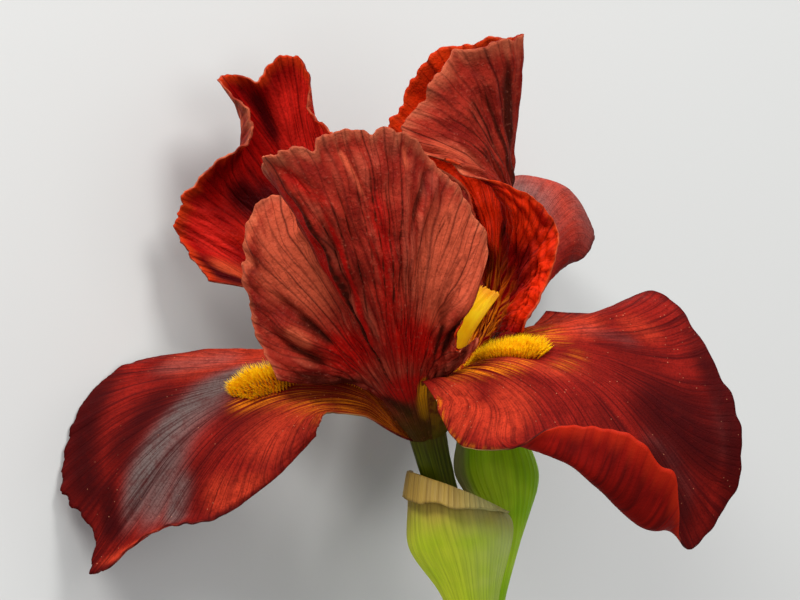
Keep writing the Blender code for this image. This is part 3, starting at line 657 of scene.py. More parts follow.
class Finish:
    """One material, painted step by step from the piece's own map, shades and place."""

    def __init__(self, name):
        self.material = bpy.data.materials.new(name)
        self.material.use_nodes = True
        self.tree = self.material.node_tree
        self.shader = self.tree.nodes["Principled BSDF"]
        self.place = self.node("TexCoord").outputs["Object"]
        blade = self.node("UVMap")
        blade.uv_map = "Blade"
        parts = self.node("SeparateXYZ")
        self.feed(parts.inputs[0], blade.outputs[0])
        self.across, self.along = parts.outputs[0], parts.outputs[1]
        shades = self.node("Attribute")
        shades.attribute_name = "Shades"
        masks = self.node("SeparateColor")
        self.feed(masks.inputs[0], shades.outputs["Color"])
        self.warm, self.pale, self.dark = masks.outputs
        self.red = shades.outputs["Alpha"]
        relief = self.node("Attribute")
        relief.attribute_name = "Relief"
        self.relief = relief.outputs["Fac"]

    def node(self, kind):
        """A new node of this kind."""
        return self.tree.nodes.new("ShaderNode" + kind)

    def feed(self, socket, value):
        """Links one socket to another, or gives it a plain value."""
        if isinstance(value, bpy.types.NodeSocket):
            self.tree.links.new(value, socket)
        else:
            socket.default_value = value

    def calc(self, operation, *values):
        """One step of arithmetic on sockets or numbers."""
        node = self.node("Math")
        node.operation = operation
        for socket, value in zip(node.inputs, values):
            self.feed(socket, value)
        return node.outputs[0]

    def times(self, value, factor):
        """One value times another."""
        return self.calc("MULTIPLY", value, factor)

    def plus(self, value, share, other):
        """A value with a share of another added."""
        return self.calc("MULTIPLY_ADD", other, share, value)

    def fade(self, value, low, high, start=0.0, end=1.0):
        """Start below low, end above high and a soft step between them."""
        node = self.node("MapRange")
        node.interpolation_type = "SMOOTHSTEP"
        keys = ("Value", "From Min", "From Max", "To Min", "To Max")
        for key, part in zip(keys, (value, low, high, start, end)):
            self.feed(node.inputs[key], part)
        return node.outputs[0]

    def mix(self, amount, under, over):
        """One colour laid over another by an amount."""
        node = self.node("Mix")
        node.data_type = "RGBA"
        for place, part in ((0, amount), (6, under), (7, over)):
            self.feed(node.inputs[place], part)
        return node.outputs[2]

    def noise(self, vector, scale, detail, roughness):
        """Soft random patches."""
        node = self.node("TexNoise")
        keys = ("Vector", "Scale", "Detail", "Roughness")
        for key, part in zip(keys, (vector, scale, detail, roughness)):
            self.feed(node.inputs[key], part)
        return node.outputs[0]

    def cloud(self, scale, detail=2.0, roughness=0.5):
        """Patches that are the same size each way, so many to the metre."""
        return self.noise(self.place, scale, detail, roughness)

    def streaks(self, across, along, detail=2.0, roughness=0.5, seed=0.0):
        """Patches drawn out along the piece's own map, so many across it and along it."""
        node = self.node("CombineXYZ")
        parts = (self.times(self.across, across), self.times(self.along, along), seed)
        for socket, part in zip(node.inputs, parts):
            self.feed(socket, part)
        return self.noise(node.outputs[0], 1.0, detail, roughness)

    def specks(self, scale, size):
        """Small round dots, 1 on them and 0 between them."""
        node = self.node("TexVoronoi")
        self.feed(node.inputs["Vector"], self.place)
        self.feed(node.inputs["Scale"], scale)
        return self.fade(node.outputs["Distance"], size, size * 0.5)

    def lines(self, across, count, sharpness):
        """Thin lines across the blade, 1 on them and 0 between them."""
        wave = self.calc("COSINE", self.times(across, 2 * math.pi * count))
        return self.calc("POWER", self.calc("MULTIPLY_ADD", wave, 0.5, 0.5), sharpness)

    def threads(self, across, along, width, seed):
        """Fine wandering threads that meet and part on their way to the margin."""
        field = self.streaks(across, along, 1.5, 0.4, seed)
        off = self.calc("ABSOLUTE", self.calc("SUBTRACT", field, 0.5))
        return self.fade(off, 0.0, width, 1.0, 0.0)

    def veins(self, count, starts, wander=0.035, fine=70.0):
        """Veins that run out to the margin, and fork at each start on their way."""
        drift = self.calc("SUBTRACT", self.streaks(5, 1.6, 3.0), 0.5)
        across = self.plus(self.across, wander * 2, drift)
        sharpness = self.calc("MULTIPLY_ADD", self.times(self.along, self.along), fine, 5.0)
        total = self.lines(across, count, sharpness)
        uneven = self.plus(self.along, 0.7, self.streaks(count * 0.7, 0.0))
        for level, start in enumerate(starts):
            twigs = count * 2**level
            fork = self.fade(uneven, start + 0.35, start + 0.8, 0.0, 0.5 / twigs)
            twig = self.lines(self.calc("SUBTRACT", across, fork), twigs, sharpness)
            there = self.fade(uneven, start + 0.35, start + 0.5, 0.0, 0.8 - 0.2 * level)
            total = self.calc("MAXIMUM", total, self.times(twig, there))
        strength = self.fade(self.streaks(count * 0.9, 1.3, seed=5.0), 0.3, 0.62, 0.1, 1.0)
        threads = self.threads(count * 1.6, 1.6, 0.02, 3.0)
        return self.calc("MAXIMUM", self.times(total, strength), self.times(threads, 0.5))

    def start(self, value, low, high, first, last):
        """The first coat, from one colour to another as a value goes from low to high."""
        self.colour = self.mix(self.fade(value, low, high), first, last)

    def over(self, amount, colour):
        """Lays a colour over the coats below."""
        self.colour = self.mix(amount, self.colour, colour)

    def tint(self, value, low, high, strength, colour):
        """Lays a colour on as a value goes from low to high."""
        self.over(self.fade(value, low, high, 0.0, strength), colour)

    def brushed(self, mask, streak, share=0.8, low=0.5, high=1.15):
        """A mask whose soft edge is broken into streaks."""
        return self.fade(self.plus(mask, share, streak), low, high)

    def brush(self, mask, streak, colour, *edge):
        """Lays a colour on where a mask is, in streaks."""
        self.over(self.brushed(mask, streak, *edge), colour)

    def margin(self, streak, strength, colour):
        """Lays a colour on along the margin."""
        self.tint(self.plus(self.along, 0.1, streak), 1.0, 1.06, strength, colour)

    def bump(self, height, distance, strength=0.5):
        """Roughens the surface by a height."""
        node = self.node("Bump")
        for key, part in (("Strength", strength), ("Distance", distance), ("Height", height)):
            self.feed(node.inputs[key], part)
        self.feed(self.shader.inputs["Normal"], node.outputs[0])

    def done(self, roughness, specular=0.5):
        """The finished material."""
        self.feed(self.shader.inputs["Base Color"], self.colour)
        self.feed(self.shader.inputs["Roughness"], roughness)
        self.feed(self.shader.inputs["Specular IOR Level"], specular)
        return self.material


def standard_outer():
    """The matt outer face of a standard: rose brown with dark forking veins."""
    paint = Finish("standard_outer")
    patch = paint.cloud(90.0, 4.0, 0.6)
    paint.start(patch, 0.32, 0.68, hue(116, 20, 12), hue(150, 40, 25))
    streak = paint.streaks(70, 3.0, 5.0, 0.62)
    paint.tint(streak, 0.44, 0.7, 0.5, hue(98, 12, 8))
    blister = paint.cloud(280.0, 3.0, 0.6)
    paint.tint(blister, 0.5, 0.72, 0.3, hue(190, 66, 44))
    paint.brush(paint.pale, streak, hue(190, 78, 50))
    # Paler on the ridges of the relief: partly bleached tissue, partly a painted sheen.
    paint.tint(paint.relief, 0.5, 1.3, 0.22, hue(206, 100, 72))
    # Darker in the hollows of the relief: painted shade.
    paint.tint(paint.relief, 0.25, 0.0, 0.5, hue(84, 6, 4))
    paint.brush(paint.red, streak, hue(166, 12, 5))
    paint.brush(paint.dark, streak, hue(62, 14, 4))
    paint.margin(streak, 0.45, hue(206, 112, 76))
    claw = paint.times(paint.brushed(paint.warm, streak), paint.fade(paint.along, 0.5, 0.35))
    paint.over(claw, hue(240, 156, 6))
    paint.tint(paint.along, 0.17, 0.04, 0.85, hue(66, 58, 6))
    veins = paint.veins(17, (0.15, 0.5), fine=110.0)
    paint.over(paint.times(veins, 0.75), hue(48, 6, 4))
    grain = paint.cloud(1300.0, 3.0, 0.6)
    paint.tint(grain, 0.56, 0.8, 0.2, hue(226, 130, 100))
    crepe = paint.streaks(100, 24, 4.0, 0.6)
    # Darker where the crepe bump sinks: painted shade in its hollows.
    paint.tint(crepe, 0.5, 0.3, 0.35, hue(84, 8, 6))
    rough = paint.plus(grain, 2.5, blister)
    paint.bump(paint.plus(paint.plus(rough, 2.0, crepe), -0.5, veins), 0.0004, 0.6)
    return paint.done(paint.fade(patch, 0.3, 0.7, 0.5, 0.62), 0.04)


def standard_inner():
    """The inner face of a standard: clear red, orange where the light comes through."""
    paint = Finish("standard_inner")
    paint.start(paint.cloud(70.0, 4.0, 0.6), 0.35, 0.7, hue(120, 4, 4), hue(164, 14, 8))
    streak = paint.streaks(46, 2.2, 5.0, 0.65)
    paint.tint(streak, 0.42, 0.72, 0.7, hue(82, 2, 4))
    # Darker in the hollows of the relief: painted shade.
    paint.tint(paint.relief, 0.3, 0.0, 0.5, hue(66, 2, 2))
    # Orange where the warm mask lies: painted glow of light coming through the petal.
    paint.brush(paint.warm, streak, hue(212, 40, 6))
    paint.brush(paint.pale, streak, hue(196, 74, 40))
    paint.brush(paint.red, streak, hue(222, 38, 28))
    paint.brush(paint.dark, streak, hue(64, 2, 4))
    # Orange along the thin margin: painted glow of light coming through it.
    paint.margin(streak, 0.8, hue(206, 58, 16))
    veins = paint.veins(17, (0.15, 0.5))
    rays = paint.fade(paint.streaks(60, 3.0, 3.0, 0.6), 0.44, 0.56)
    near = paint.times(rays, paint.fade(paint.along, 0.3, 0.6, 0.9, 0.0))
    paint.over(near, hue(226, 124, 10))
    paint.over(paint.times(veins, 0.65), hue(62, 2, 4))
    crepe = paint.streaks(100, 24, 4.0, 0.6)
    # Darker where the crepe bump sinks: painted shade in its hollows.
    paint.tint(crepe, 0.5, 0.3, 0.35, hue(70, 2, 2))
    rough = paint.cloud(1300.0, 3.0, 0.6)
    paint.bump(paint.plus(paint.plus(rough, 2.0, crepe), -0.5, veins), 0.0004, 0.6)
    return paint.done(0.42, 0.03)


def fall_upper(name, contrast):
    """The velvet upper face of a fall: deep red streaks under a painted grey sheen."""
    paint = Finish(name)
    paint.start(paint.cloud(50.0, 3.0), 0.3, 0.7, hue(98, 14, 10), hue(138, 26, 18))
    streak = paint.streaks(120, 1.8, 5.0, 0.65)
    paint.brush(paint.red, streak, hue(182, 52, 30), 0.35, 0.25, 1.1)
    # On the falls the pale mask is a painted sheen: the grey-mauve reflection of the sky on the velvet.
    paint.brush(paint.pale, streak, hue(106, 90, 86), 0.35, 0.25, 1.15)
    paint.brush(paint.dark, streak, hue(56, 8, 8), 0.35, 0.25, 1.1)
    calmer = paint.calc("MULTIPLY_ADD", paint.red, -0.45, 1.0)
    streaks = paint.times(paint.fade(streak, 0.46, 0.62, 0.0, contrast), calmer)
    paint.over(streaks, hue(56, 6, 8))
    paint.tint(paint.cloud(420.0, 3.0, 0.6), 0.55, 0.3, 0.35, hue(84, 10, 8))
    rays = paint.fade(paint.streaks(80, 2.2, 4.0, 0.6), 0.46, 0.56)
    near = paint.fade(paint.along, 0.03, 0.27, 0.85, 0.0)
    paint.over(paint.times(rays, paint.calc("MAXIMUM", paint.warm, near)), hue(226, 124, 14))
    veins = paint.veins(26, (0.2, 0.55), 0.02, 90.0)
    paint.over(paint.times(veins, contrast * 0.8), hue(42, 4, 6))
    paint.margin(streak, 0.7, hue(66, 8, 8))
    dots = paint.times(paint.specks(650.0, 0.1), paint.fade(paint.cloud(90.0), 0.42, 0.58))
    paint.over(paint.times(dots, 0.5), hue(226, 150, 110))
    velvet = paint.cloud(2000.0, 3.0, 0.6)
    # Darker where the velvet bump sinks: painted shade in the pile's hollows.
    paint.tint(velvet, 0.55, 0.3, 0.4, hue(60, 6, 8))
    paint.bump(paint.plus(paint.plus(velvet, 1.2, streak), -0.5, veins), 0.0003, 0.6)
    return paint.done(0.6, 0.02)


def fall_under():
    """The smoother underside of a fall, a brighter red with dark ribs."""
    paint = Finish("fall_under")
    paint.start(paint.cloud(60.0, 4.0), 0.3, 0.7, hue(112, 9, 5), hue(146, 18, 9))
    streak = paint.streaks(60, 2.0, 4.0, 0.6)
    paint.tint(streak, 0.44, 0.64, 0.7, hue(70, 6, 5))
    haft = paint.mix(paint.fade(paint.cloud(500.0, 3.0), 0.4, 0.6), hue(156, 104, 8), hue(112, 52, 6))
    paint.over(paint.fade(paint.along, 0.1, 0.34, 0.8, 0.0), haft)
    paint.tint(paint.along, 0.12, 0.0, 0.9, hue(76, 74, 6))
    veins = paint.veins(26, (0.2, 0.55), 0.02, 60.0)
    paint.over(paint.times(veins, 0.5), hue(66, 6, 6))
    paint.margin(streak, 0.6, hue(206, 44, 16))
    grain = paint.times(paint.cloud(1300.0, 3.0, 0.6), 0.8)
    paint.bump(paint.plus(grain, 0.5, veins), 0.0002)
    return paint.done(0.45, 0.04)


def rim(name, low, high, flushed):
    """The cut edge of a petal, paler in places."""
    paint = Finish(name)
    paint.start(paint.cloud(300.0, 3.0), 0.35, 0.7, low, high)
    paint.over(paint.warm, flushed)
    return paint.done(0.55, 0.06)


def beard_finish():
    """Hairs that go from orange at their roots to yellow at their tips."""
    paint = Finish("beard_hairs")
    paint.start(paint.across, 0.0, 0.8, hue(248, 128, 0), hue(255, 172, 0))
    paint.tint(paint.along, 0.15, 0.9, 1.0, hue(255, 206, 8))
    paint.tint(paint.cloud(900.0), 0.4, 0.7, 0.5, hue(232, 112, 4))
    return paint.done(0.6, 0.05)


def style_finish():
    """The yellow petal-like arm of the style, its midrib and sides a little darker."""
    paint = Finish("style_arm")
    paint.start(paint.cloud(160.0, 3.0), 0.3, 0.7, hue(250, 184, 4), hue(255, 214, 24))
    side = paint.calc("ABSOLUTE", paint.calc("SUBTRACT", paint.across, 0.5))
    paint.tint(side, 0.36, 0.5, 0.4, hue(222, 130, 14))
    paint.tint(paint.along, 0.9, 1.0, 0.5, hue(214, 110, 30))
    lines = paint.streaks(30, 1.5, 3.0, 0.6)
    paint.tint(lines, 0.5, 0.75, 0.35, hue(226, 146, 8))
    paint.bump(lines, 0.0002)
    return paint.done(0.45, 0.12)


def stamen_finish():
    """A pale filament and a cream anther dusted with pollen."""
    paint = Finish("stamen")
    grain = paint.cloud(1800.0)
    anther = paint.mix(paint.fade(grain, 0.35, 0.65), hue(214, 186, 110), hue(240, 226, 170))
    paint.start(paint.along, 0.38, 0.5, hue(190, 170, 60), anther)
    paint.bump(grain, 0.0003, 0.8)
    return paint.done(0.75)


def tube_finish():
    """The ribbed green tube, flushed brown where the petals leave it."""
    paint = Finish("perianth_tube")
    streak = paint.streaks(50, 3.0, 4.0, 0.6)
    paint.start(streak, 0.35, 0.7, hue(50, 58, 2), hue(90, 96, 8))
    paint.tint(paint.plus(paint.along, 0.15, streak), 0.32, 0.1, 0.8, hue(92, 62, 8))
    paint.tint(paint.along, 0.5, 0.9, 0.7, hue(140, 168, 66))
    paint.bump(streak, 0.0004)
    return paint.done(0.42, 0.08)


def stem_finish():
    """The smooth green stem, finely lined, with a grey bloom."""
    paint = Finish("stem_skin")
    streak = paint.streaks(60, 5.0, 4.0, 0.6)
    paint.start(streak, 0.35, 0.7, hue(96, 134, 56), hue(136, 168, 88))
    paint.tint(paint.cloud(90.0, 3.0), 0.45, 0.75, 0.5, hue(168, 188, 148))
    paint.bump(streak, 0.0003)
    return paint.done(0.48)


def cut_finish():
    """The cut end of the stem: pale pith with darker strands."""
    paint = Finish("stem_cut")
    strands = paint.times(paint.specks(900.0, 0.35), 0.6)
    paint.colour = paint.mix(strands, hue(190, 204, 140), hue(120, 146, 70))
    return paint.done(0.6)


def bract_finish(name, leaf, light_leaf, dry_start):
    """A sheathing bract: green with fine long ribs, dry and tan from dry_start to its free edge."""
    paint = Finish(name)
    streak = paint.streaks(40, 1.6, 4.0, 0.6)
    cloud = paint.cloud(60.0, 3.0)
    paint.start(cloud, 0.35, 0.65, leaf, light_leaf)
    paint.tint(streak, 0.4, 0.7, 0.35, hue(96, 124, 12))
    ribs = paint.lines(paint.plus(paint.across, 0.02, streak), BRACT_RIBS, 3.0)
    paint.over(paint.times(ribs, 0.09), hue(110, 138, 20))
    dry = paint.mix(paint.fade(streak, 0.35, 0.7), hue(178, 146, 68), hue(146, 116, 54))
    paint.over(paint.fade(paint.plus(paint.along, 0.12, cloud), dry_start, dry_start + 0.26), dry)
    side = paint.plus(paint.across, 0.06, cloud)
    paint.tint(side, 0.13, 0.05, 0.7, hue(162, 140, 112))
    # Lighter towards one side: a painted grey-green sheen.
    bloom = paint.times(paint.fade(side, 0.5, 1.0, 0.0, 0.6), paint.fade(cloud, 0.35, 0.6, 0.4, 1.0))
    paint.over(bloom, hue(186, 206, 138))
    paint.bump(paint.calc("ADD", ribs, streak), 0.0002)
    return paint.done(0.5, 0.12)


# The shapes.

def unit(vectors):
    """Vectors of a grid, each made one unit long."""
    return vectors / np.maximum(np.linalg.norm(vectors, axis=-1, keepdims=True), 1e-9)


def normals(grid):
    """Unit normals of a grid of points."""
    return unit(np.cross(np.gradient(grid, axis=1), np.gradient(grid, axis=0)))


def parameters(columns, rows):
    """Two arrays of parameters from 0 to 1, across a sheet and along it."""
    return np.meshgrid(np.linspace(0, 1, columns + 1), np.linspace(0, 1, rows + 1))


def in_place(point):
    """A point of the flower's own millimetres, where it lies, in metres."""
    return LAY @ (Vector(point) * MM)


def in_scene(name, data):
    """An object that shows this mesh, camera or lamp in the scene."""
    shown = bpy.data.objects.new(name, data)
    bpy.context.scene.collection.objects.link(shown)
    return shown


def mesh_of(name, work):
    """A mesh made from a bmesh, which is freed."""
    mesh = bpy.data.meshes.new(name)
    work.to_mesh(mesh)
    work.free()
    return mesh


def places_of(mesh):
    """The places of a mesh's vertices, a row for each."""
    places = np.zeros(len(mesh.vertices) * 3)
    mesh.vertices.foreach_get("co", places)
    return places.reshape(-1, 3)


def add_blade_map(mesh, places):
    """Gives every corner of a mesh its vertex's place on the piece's own map."""
    corner = np.zeros(len(mesh.loops), int)
    mesh.loops.foreach_get("vertex_index", corner)
    mesh.uv_layers.new(name="Blade").data.foreach_set("uv", places[corner].ravel())


def add_piece(name, mesh, materials):
    """Lays a finished mesh down in metres, over the floor, for the CAD node of this name."""
    for material in materials:
        mesh.materials.append(material)
    mesh.shade_smooth()
    mesh.transform(LAY @ Matrix.Scale(MM, 4))
    places = places_of(mesh)
    places[:, 2] = np.maximum(places[:, 2], REST_HEIGHT * MM)
    mesh.vertices.foreach_set("co", places.ravel())
    mesh.update()
    piece = in_scene("fine_" + name, mesh)
    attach(piece, "root")
    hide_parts(name)
    return piece


def close_round(mesh):
    """Joins the two sides of a rolled grid and caps its ends in the second material."""
    work = bmesh.new()
    work.from_mesh(mesh)
    bmesh.ops.remove_doubles(work, verts=work.verts, dist=1e-4)
    open_edges = [edge for edge in work.edges if edge.is_boundary]
    caps = bmesh.ops.holes_fill(work, edges=open_edges, sides=0)["faces"]
    bmesh.ops.recalc_face_normals(work, faces=work.faces)
    for cap in caps:
        cap.material_index = 1
        cap.smooth = False
    work.to_mesh(mesh)
    work.free()


def grid_mesh(name, grid, shades=None, relief=None):
    """A grid of quads through a grid of points, with its own map, shade masks and relief."""
    rows, columns = grid.shape[0] - 1, grid.shape[1] - 1
    work = bmesh.new()
    bmesh.ops.create_grid(work, x_segments=columns, y_segments=rows, size=1)
    mesh = mesh_of(name, work)
    flat = places_of(mesh)
    column = np.rint((flat[:, 0] + 1) / 2 * columns).astype(int)
    row = np.rint((flat[:, 1] + 1) / 2 * rows).astype(int)
    mesh.vertices.foreach_set("co", grid[row, column].ravel())
    add_blade_map(mesh, np.stack(parameters(columns, rows), -1)[row, column])
    if shades is not None:
        layer = mesh.attributes.new("Shades", "FLOAT_COLOR", "POINT")
        layer.data.foreach_set("color", shades[row, column].ravel())
        layer = mesh.attributes.new("Relief", "FLOAT", "POINT")
        layer.data.foreach_set("value", relief[row, column].ravel())
    mesh.update()
    return mesh


def add_sheet(name, mesh, materials, thickness):
    """A piece with a wall. A second material takes its second face, and a third its rim."""
    piece = add_piece(name, mesh, materials)
    wall = piece.modifiers.new("Wall", "SOLIDIFY")
    wall.thickness = thickness * MM
    wall.offset = 0
    if len(materials) > 1:
        wall.material_offset = 1
        wall.material_offset_rim = 2


def stroke(net, grid, points, width):
    """A soft line drawn in the surface's parameters, 1 along it and tapered at its ends."""
    points = np.asarray(points, float)
    share = np.linspace(0, 1, STROKE_SAMPLES)
    dense = spline_weights(np.linspace(0, 1, len(points)), share) @ points
    line = surface_points(net, dense[:, 0], dense[:, 1])
    total = np.zeros(grid.shape[:2])
    for spot, taper in zip(line, smooth(share, -0.1, 0.3) * smooth(share, 1.1, 0.7)):
        reach = ((grid - spot) ** 2).sum(axis=2) / (width * (0.4 + 0.6 * taper)) ** 2
        total = np.maximum(total, taper * np.exp(-reach))
    return total


def shade_masks(net, grid, strokes):
    """The four masks of a petal, from its soft strokes of (points, width, strength)."""
    masks = np.zeros((*grid.shape[:2], len(MASKS)))
    for mask, kind in enumerate(MASKS):
        for points, width, strength in strokes.get(kind, ()):
            masks[..., mask] = np.maximum(masks[..., mask], strength * stroke(net, grid, points, width))
    return masks


def torn_reach(petal, across, along, seed):
    """How far out the points of a petal lie, with its margin torn and notched."""
    torn = ripples(across, 0, TEARS, seed) + 0.6 * ripples(across, 0, FINE_TEARS, seed + 1)
    reach = along * (1 + petal.get("ragged", RAGGED) * torn * along**4)
    for place, width, depth in petal.get("notches", ()):
        reach = reach * (1 - depth * np.exp(-(((across - place) / width) ** 4)) * along**3)
    return reach


def seated(grid, along):
    """Draws the foot of a petal's claw down and inwards, into the tube."""
    outward = unit(grid - (grid @ AXIS)[..., None] * AXIS)
    sunk = grid - CLAW_SINK * (1 - smooth(along, 0, SINK_END))[..., None] * AXIS
    return sunk - CLAW_DIP * (1 - smooth(along, 0, DIP_END))[..., None] * outward


def ruffle(petal, across, along):
    """How far the long waves of a petal's margin lift it."""
    wave = 0
    for count, share, shift in RUFFLES:
        wave = wave + share * np.sin(2 * math.pi * count * across + shift * petal["phase"])
    return petal.get("ruffle", RUFFLE_HEIGHT) * along**3 * wave


def crumple(petal, across, along, seed):
    """How far the folds and blisters of a petal lift it, and their relief, from which the finishes paint
    shade into the hollows and a paler sheen onto the ridges.
    """
    coarse, middling, fine = petal.get("crumple", CRUMPLE)
    lively = 1 + 0 * across
    for place, width, share in petal.get("calm", ()):
        lively = lively * (1 - share * np.exp(-(((across - place) / width) ** 2)) * smooth(along, 0.3, 0.6))
    folds = coarse * lively * ripples(across, along, FOLDS, seed, FOLD_RIPPLES)
    domes = middling * np.abs(ripples(across, along, BLISTERS, seed + 1, FOLD_RIPPLES))
    domes = domes + fine * np.abs(ripples(across, along, FINE_BLISTERS, seed + 2, FINE_RIPPLES))
    domes = lively * domes
    relief = 0.5 + (domes / np.mean(domes) - lively) * 0.5
    return smooth(along, 0.1, 0.45) * (folds + domes), relief


def add_petal(name, petal, finishes):
    """A petal with a torn and ruffled margin, a crumpled face and its own creases."""
    net = petal_net(petal)
    across, along = parameters(*PETAL_CELLS)
    seed = round(petal["phase"] * 10)
    grid = seated(surface_points(net, across, torn_reach(petal, across, along, seed)), along)
    frill = petal.get("frill", FRILL) * along**8 * ripples(across, along, FRILLS, seed + 2)
    crumpled, relief = crumple(petal, across, along, seed + 3)
    lift = ruffle(petal, across, along) + frill + crumpled
    for points, width, height in petal.get("creases", ()):
        lift = lift + height * stroke(net, grid, points, width)
    masks = shade_masks(net, grid, SHADES[name])
    mesh = grid_mesh(name, grid + lift[..., None] * normals(grid), masks, relief)
    add_sheet(name, mesh, finishes, PETAL_WALL)


def style_frame(side):
    """The middle line of a style arm, with the way across it and the way out at each point."""
    azimuth, line, way = STYLE_ARMS[side]
    way = np.asarray(way)
    line = np.array([round_the_axis(azimuth, STYLE_RING, SEAT_GAP), *line], float)
    foot_way = round_the_axis(azimuth + 90, 1, 0)
    inward = AXIS - 2 * round_the_axis(azimuth, 1, 0)
    ways = [foot_way * math.copysign(1, foot_way @ way)]
    ways += [way / np.linalg.norm(way)] * (len(line) - 1)
    outs = []
    for across, direction in zip(ways, np.gradient(line, axis=0)):
        out = np.cross(across, direction / np.linalg.norm(direction))
        outs.append(out * math.copysign(1, out @ inward))
    return line, ways, outs


def add_style_arm(side, finish):
    """A petal-like arm over the fall, bowed across, ridged and frayed at its crest."""
    azimuth = STYLE_ARMS[side][0]
    spread = np.linspace(-1, 1, 5)[:, None]
    net = []
    for centre, way, out, half in zip(*style_frame(side), STYLE_HALF_WIDTHS):
        bend = STYLE_BOW * (half / max(STYLE_HALF_WIDTHS)) * spread**2
        net.append(centre + way * half * spread - out * bend)
    across, along = parameters(*STYLE_CELLS)
    torn = ripples(across, 0, (9, 0), azimuth) + 0.6 * ripples(across, 0, (24, 0), azimuth + 1)
    grid = surface_points(net, across, along * (1 + STYLE_TEAR * torn * along**4))
    ridge = STYLE_RIDGE * np.exp(-(((across - 0.5) / STYLE_RIDGE_WIDTH) ** 2))
    lift = ridge + STYLE_CURL * along**4 * ripples(across, along, (5, 2), azimuth + 2)
    mesh = grid_mesh("style_arm_" + side, grid + lift[..., None] * normals(grid))
    add_sheet("style_arm_" + side, mesh, [finish], STYLE_WALL)


def rings_mesh(name, centres, radii, sides, rough, ribs=0, rib_height=0.0):
    """A closed round body along a line of centres."""
    angles = np.linspace(0, 2 * math.pi, sides + 1)
    angles[-1] = 0
    ribbed = rib_height * np.cos(ribs * angles)
    grid = []
    for place, centre, way, radius in zip(
        np.linspace(0, 1, len(radii)), centres, np.gradient(centres, axis=0), radii
    ):
        turn = np.array(Vector(way).to_track_quat("Z", "X").to_matrix())
        waves = ripples(np.cos(angles), np.sin(angles) + 4 * place, (2.2, 2.2), 5)
        reach = radius + ribbed + rough * waves
        ring = np.stack((reach * np.cos(angles), reach * np.sin(angles), 0 * angles), -1)
        grid.append(centre + ring @ turn.T)
    mesh = grid_mesh(name, np.array(grid))
    close_round(mesh)
    return mesh


def line_points(points, samples):
    """Points along the smooth line through some points, at shares of its length."""
    points = np.asarray(points, float)
    steps = np.linalg.norm(np.diff(points, axis=0), axis=1)
    knots = np.concatenate(([0.0], np.cumsum(steps)))
    return spline_weights(knots, samples * knots[-1]) @ points


def add_tube():
    """The throat, the tube and the ovary below it, faintly ribbed."""
    share = np.linspace(0, 1, ROUND_ROWS)
    depths, widths = zip(*TUBE_STATIONS)
    radii = spline_weights(np.array(depths), share * depths[-1]) @ np.array(widths)
    centres = line_points(TUBE_LINE, share)
    mesh = rings_mesh("perianth_tube", centres, radii, TUBE_SIDES, TUBE_ROUGH, TUBE_RIBS, TUBE_RIB_HEIGHT)
    add_piece("perianth_tube", mesh, [tube_finish()] * 2)


def add_stem():
    """The stem, thicker towards its cut end."""
    share = np.linspace(0, 1, ROUND_ROWS)
    radii = spline_weights(np.linspace(0, 1, len(STEM_RADII)), share) @ np.array(STEM_RADII)
    mesh = rings_mesh("stem", line_points(STEM_LINE, share), radii, STEM_SIDES, STEM_ROUGH)
    add_piece("stem", mesh, [stem_finish(), cut_finish()])


def add_stamen(side, finish):
    """A thin filament and a plump grooved anther under each style arm."""
    line, _, outs = style_frame(side)
    foot = round_the_axis(STYLE_ARMS[side][0], STAMEN_RING, SEAT_GAP)
    joint, tip = line[1] - outs[1] * STAMEN_DROP, line[2] - outs[2] * STAMEN_DROP
    share = np.linspace(0, 1, STAMEN_ROWS)
    bend = math.dist(foot, joint) / (math.dist(foot, joint) + math.dist(joint, tip))
    below = foot + (joint - foot) * np.minimum(share / bend, 1)[:, None]
    above = joint + (tip - joint) * np.maximum((share - bend) / (1 - bend), 0)[:, None]
    centres = np.where(share[:, None] < bend, below, above)
    swell = np.sqrt(np.clip((share - bend) / (1 - bend), 0, 1) * np.clip(1.04 - share, 0, 1) / 0.25)
    swell = np.clip(swell, 0, 1) * smooth(share, bend - 0.06, bend + 0.06)
    radii = FILAMENT_RADIUS + (ANTHER_RADIUS - FILAMENT_RADIUS) * swell
    mesh = rings_mesh("stamen_" + side, centres, radii, STAMEN_SIDES, STAMEN_ROUGH, 2, ANTHER_GROOVE)
    add_piece("stamen_" + side, mesh, [finish, finish])


def hair_shape():
    """One tapered hair, a unit long, with two rings between its root and its tip."""
    work = bmesh.new()
    rise = Matrix.Translation((0, 0, 0.5))
    bmesh.ops.create_cone(work, cap_ends=True, segments=3, radius1=1, radius2=0, depth=1, matrix=rise)
    for height in (0.35, 0.7):
        faces = work.verts[:] + work.edges[:] + work.faces[:]
        bmesh.ops.bisect_plane(work, geom=faces, plane_co=(0, 0, height), plane_no=(0, 0, 1))
    return mesh_of("hair", work)


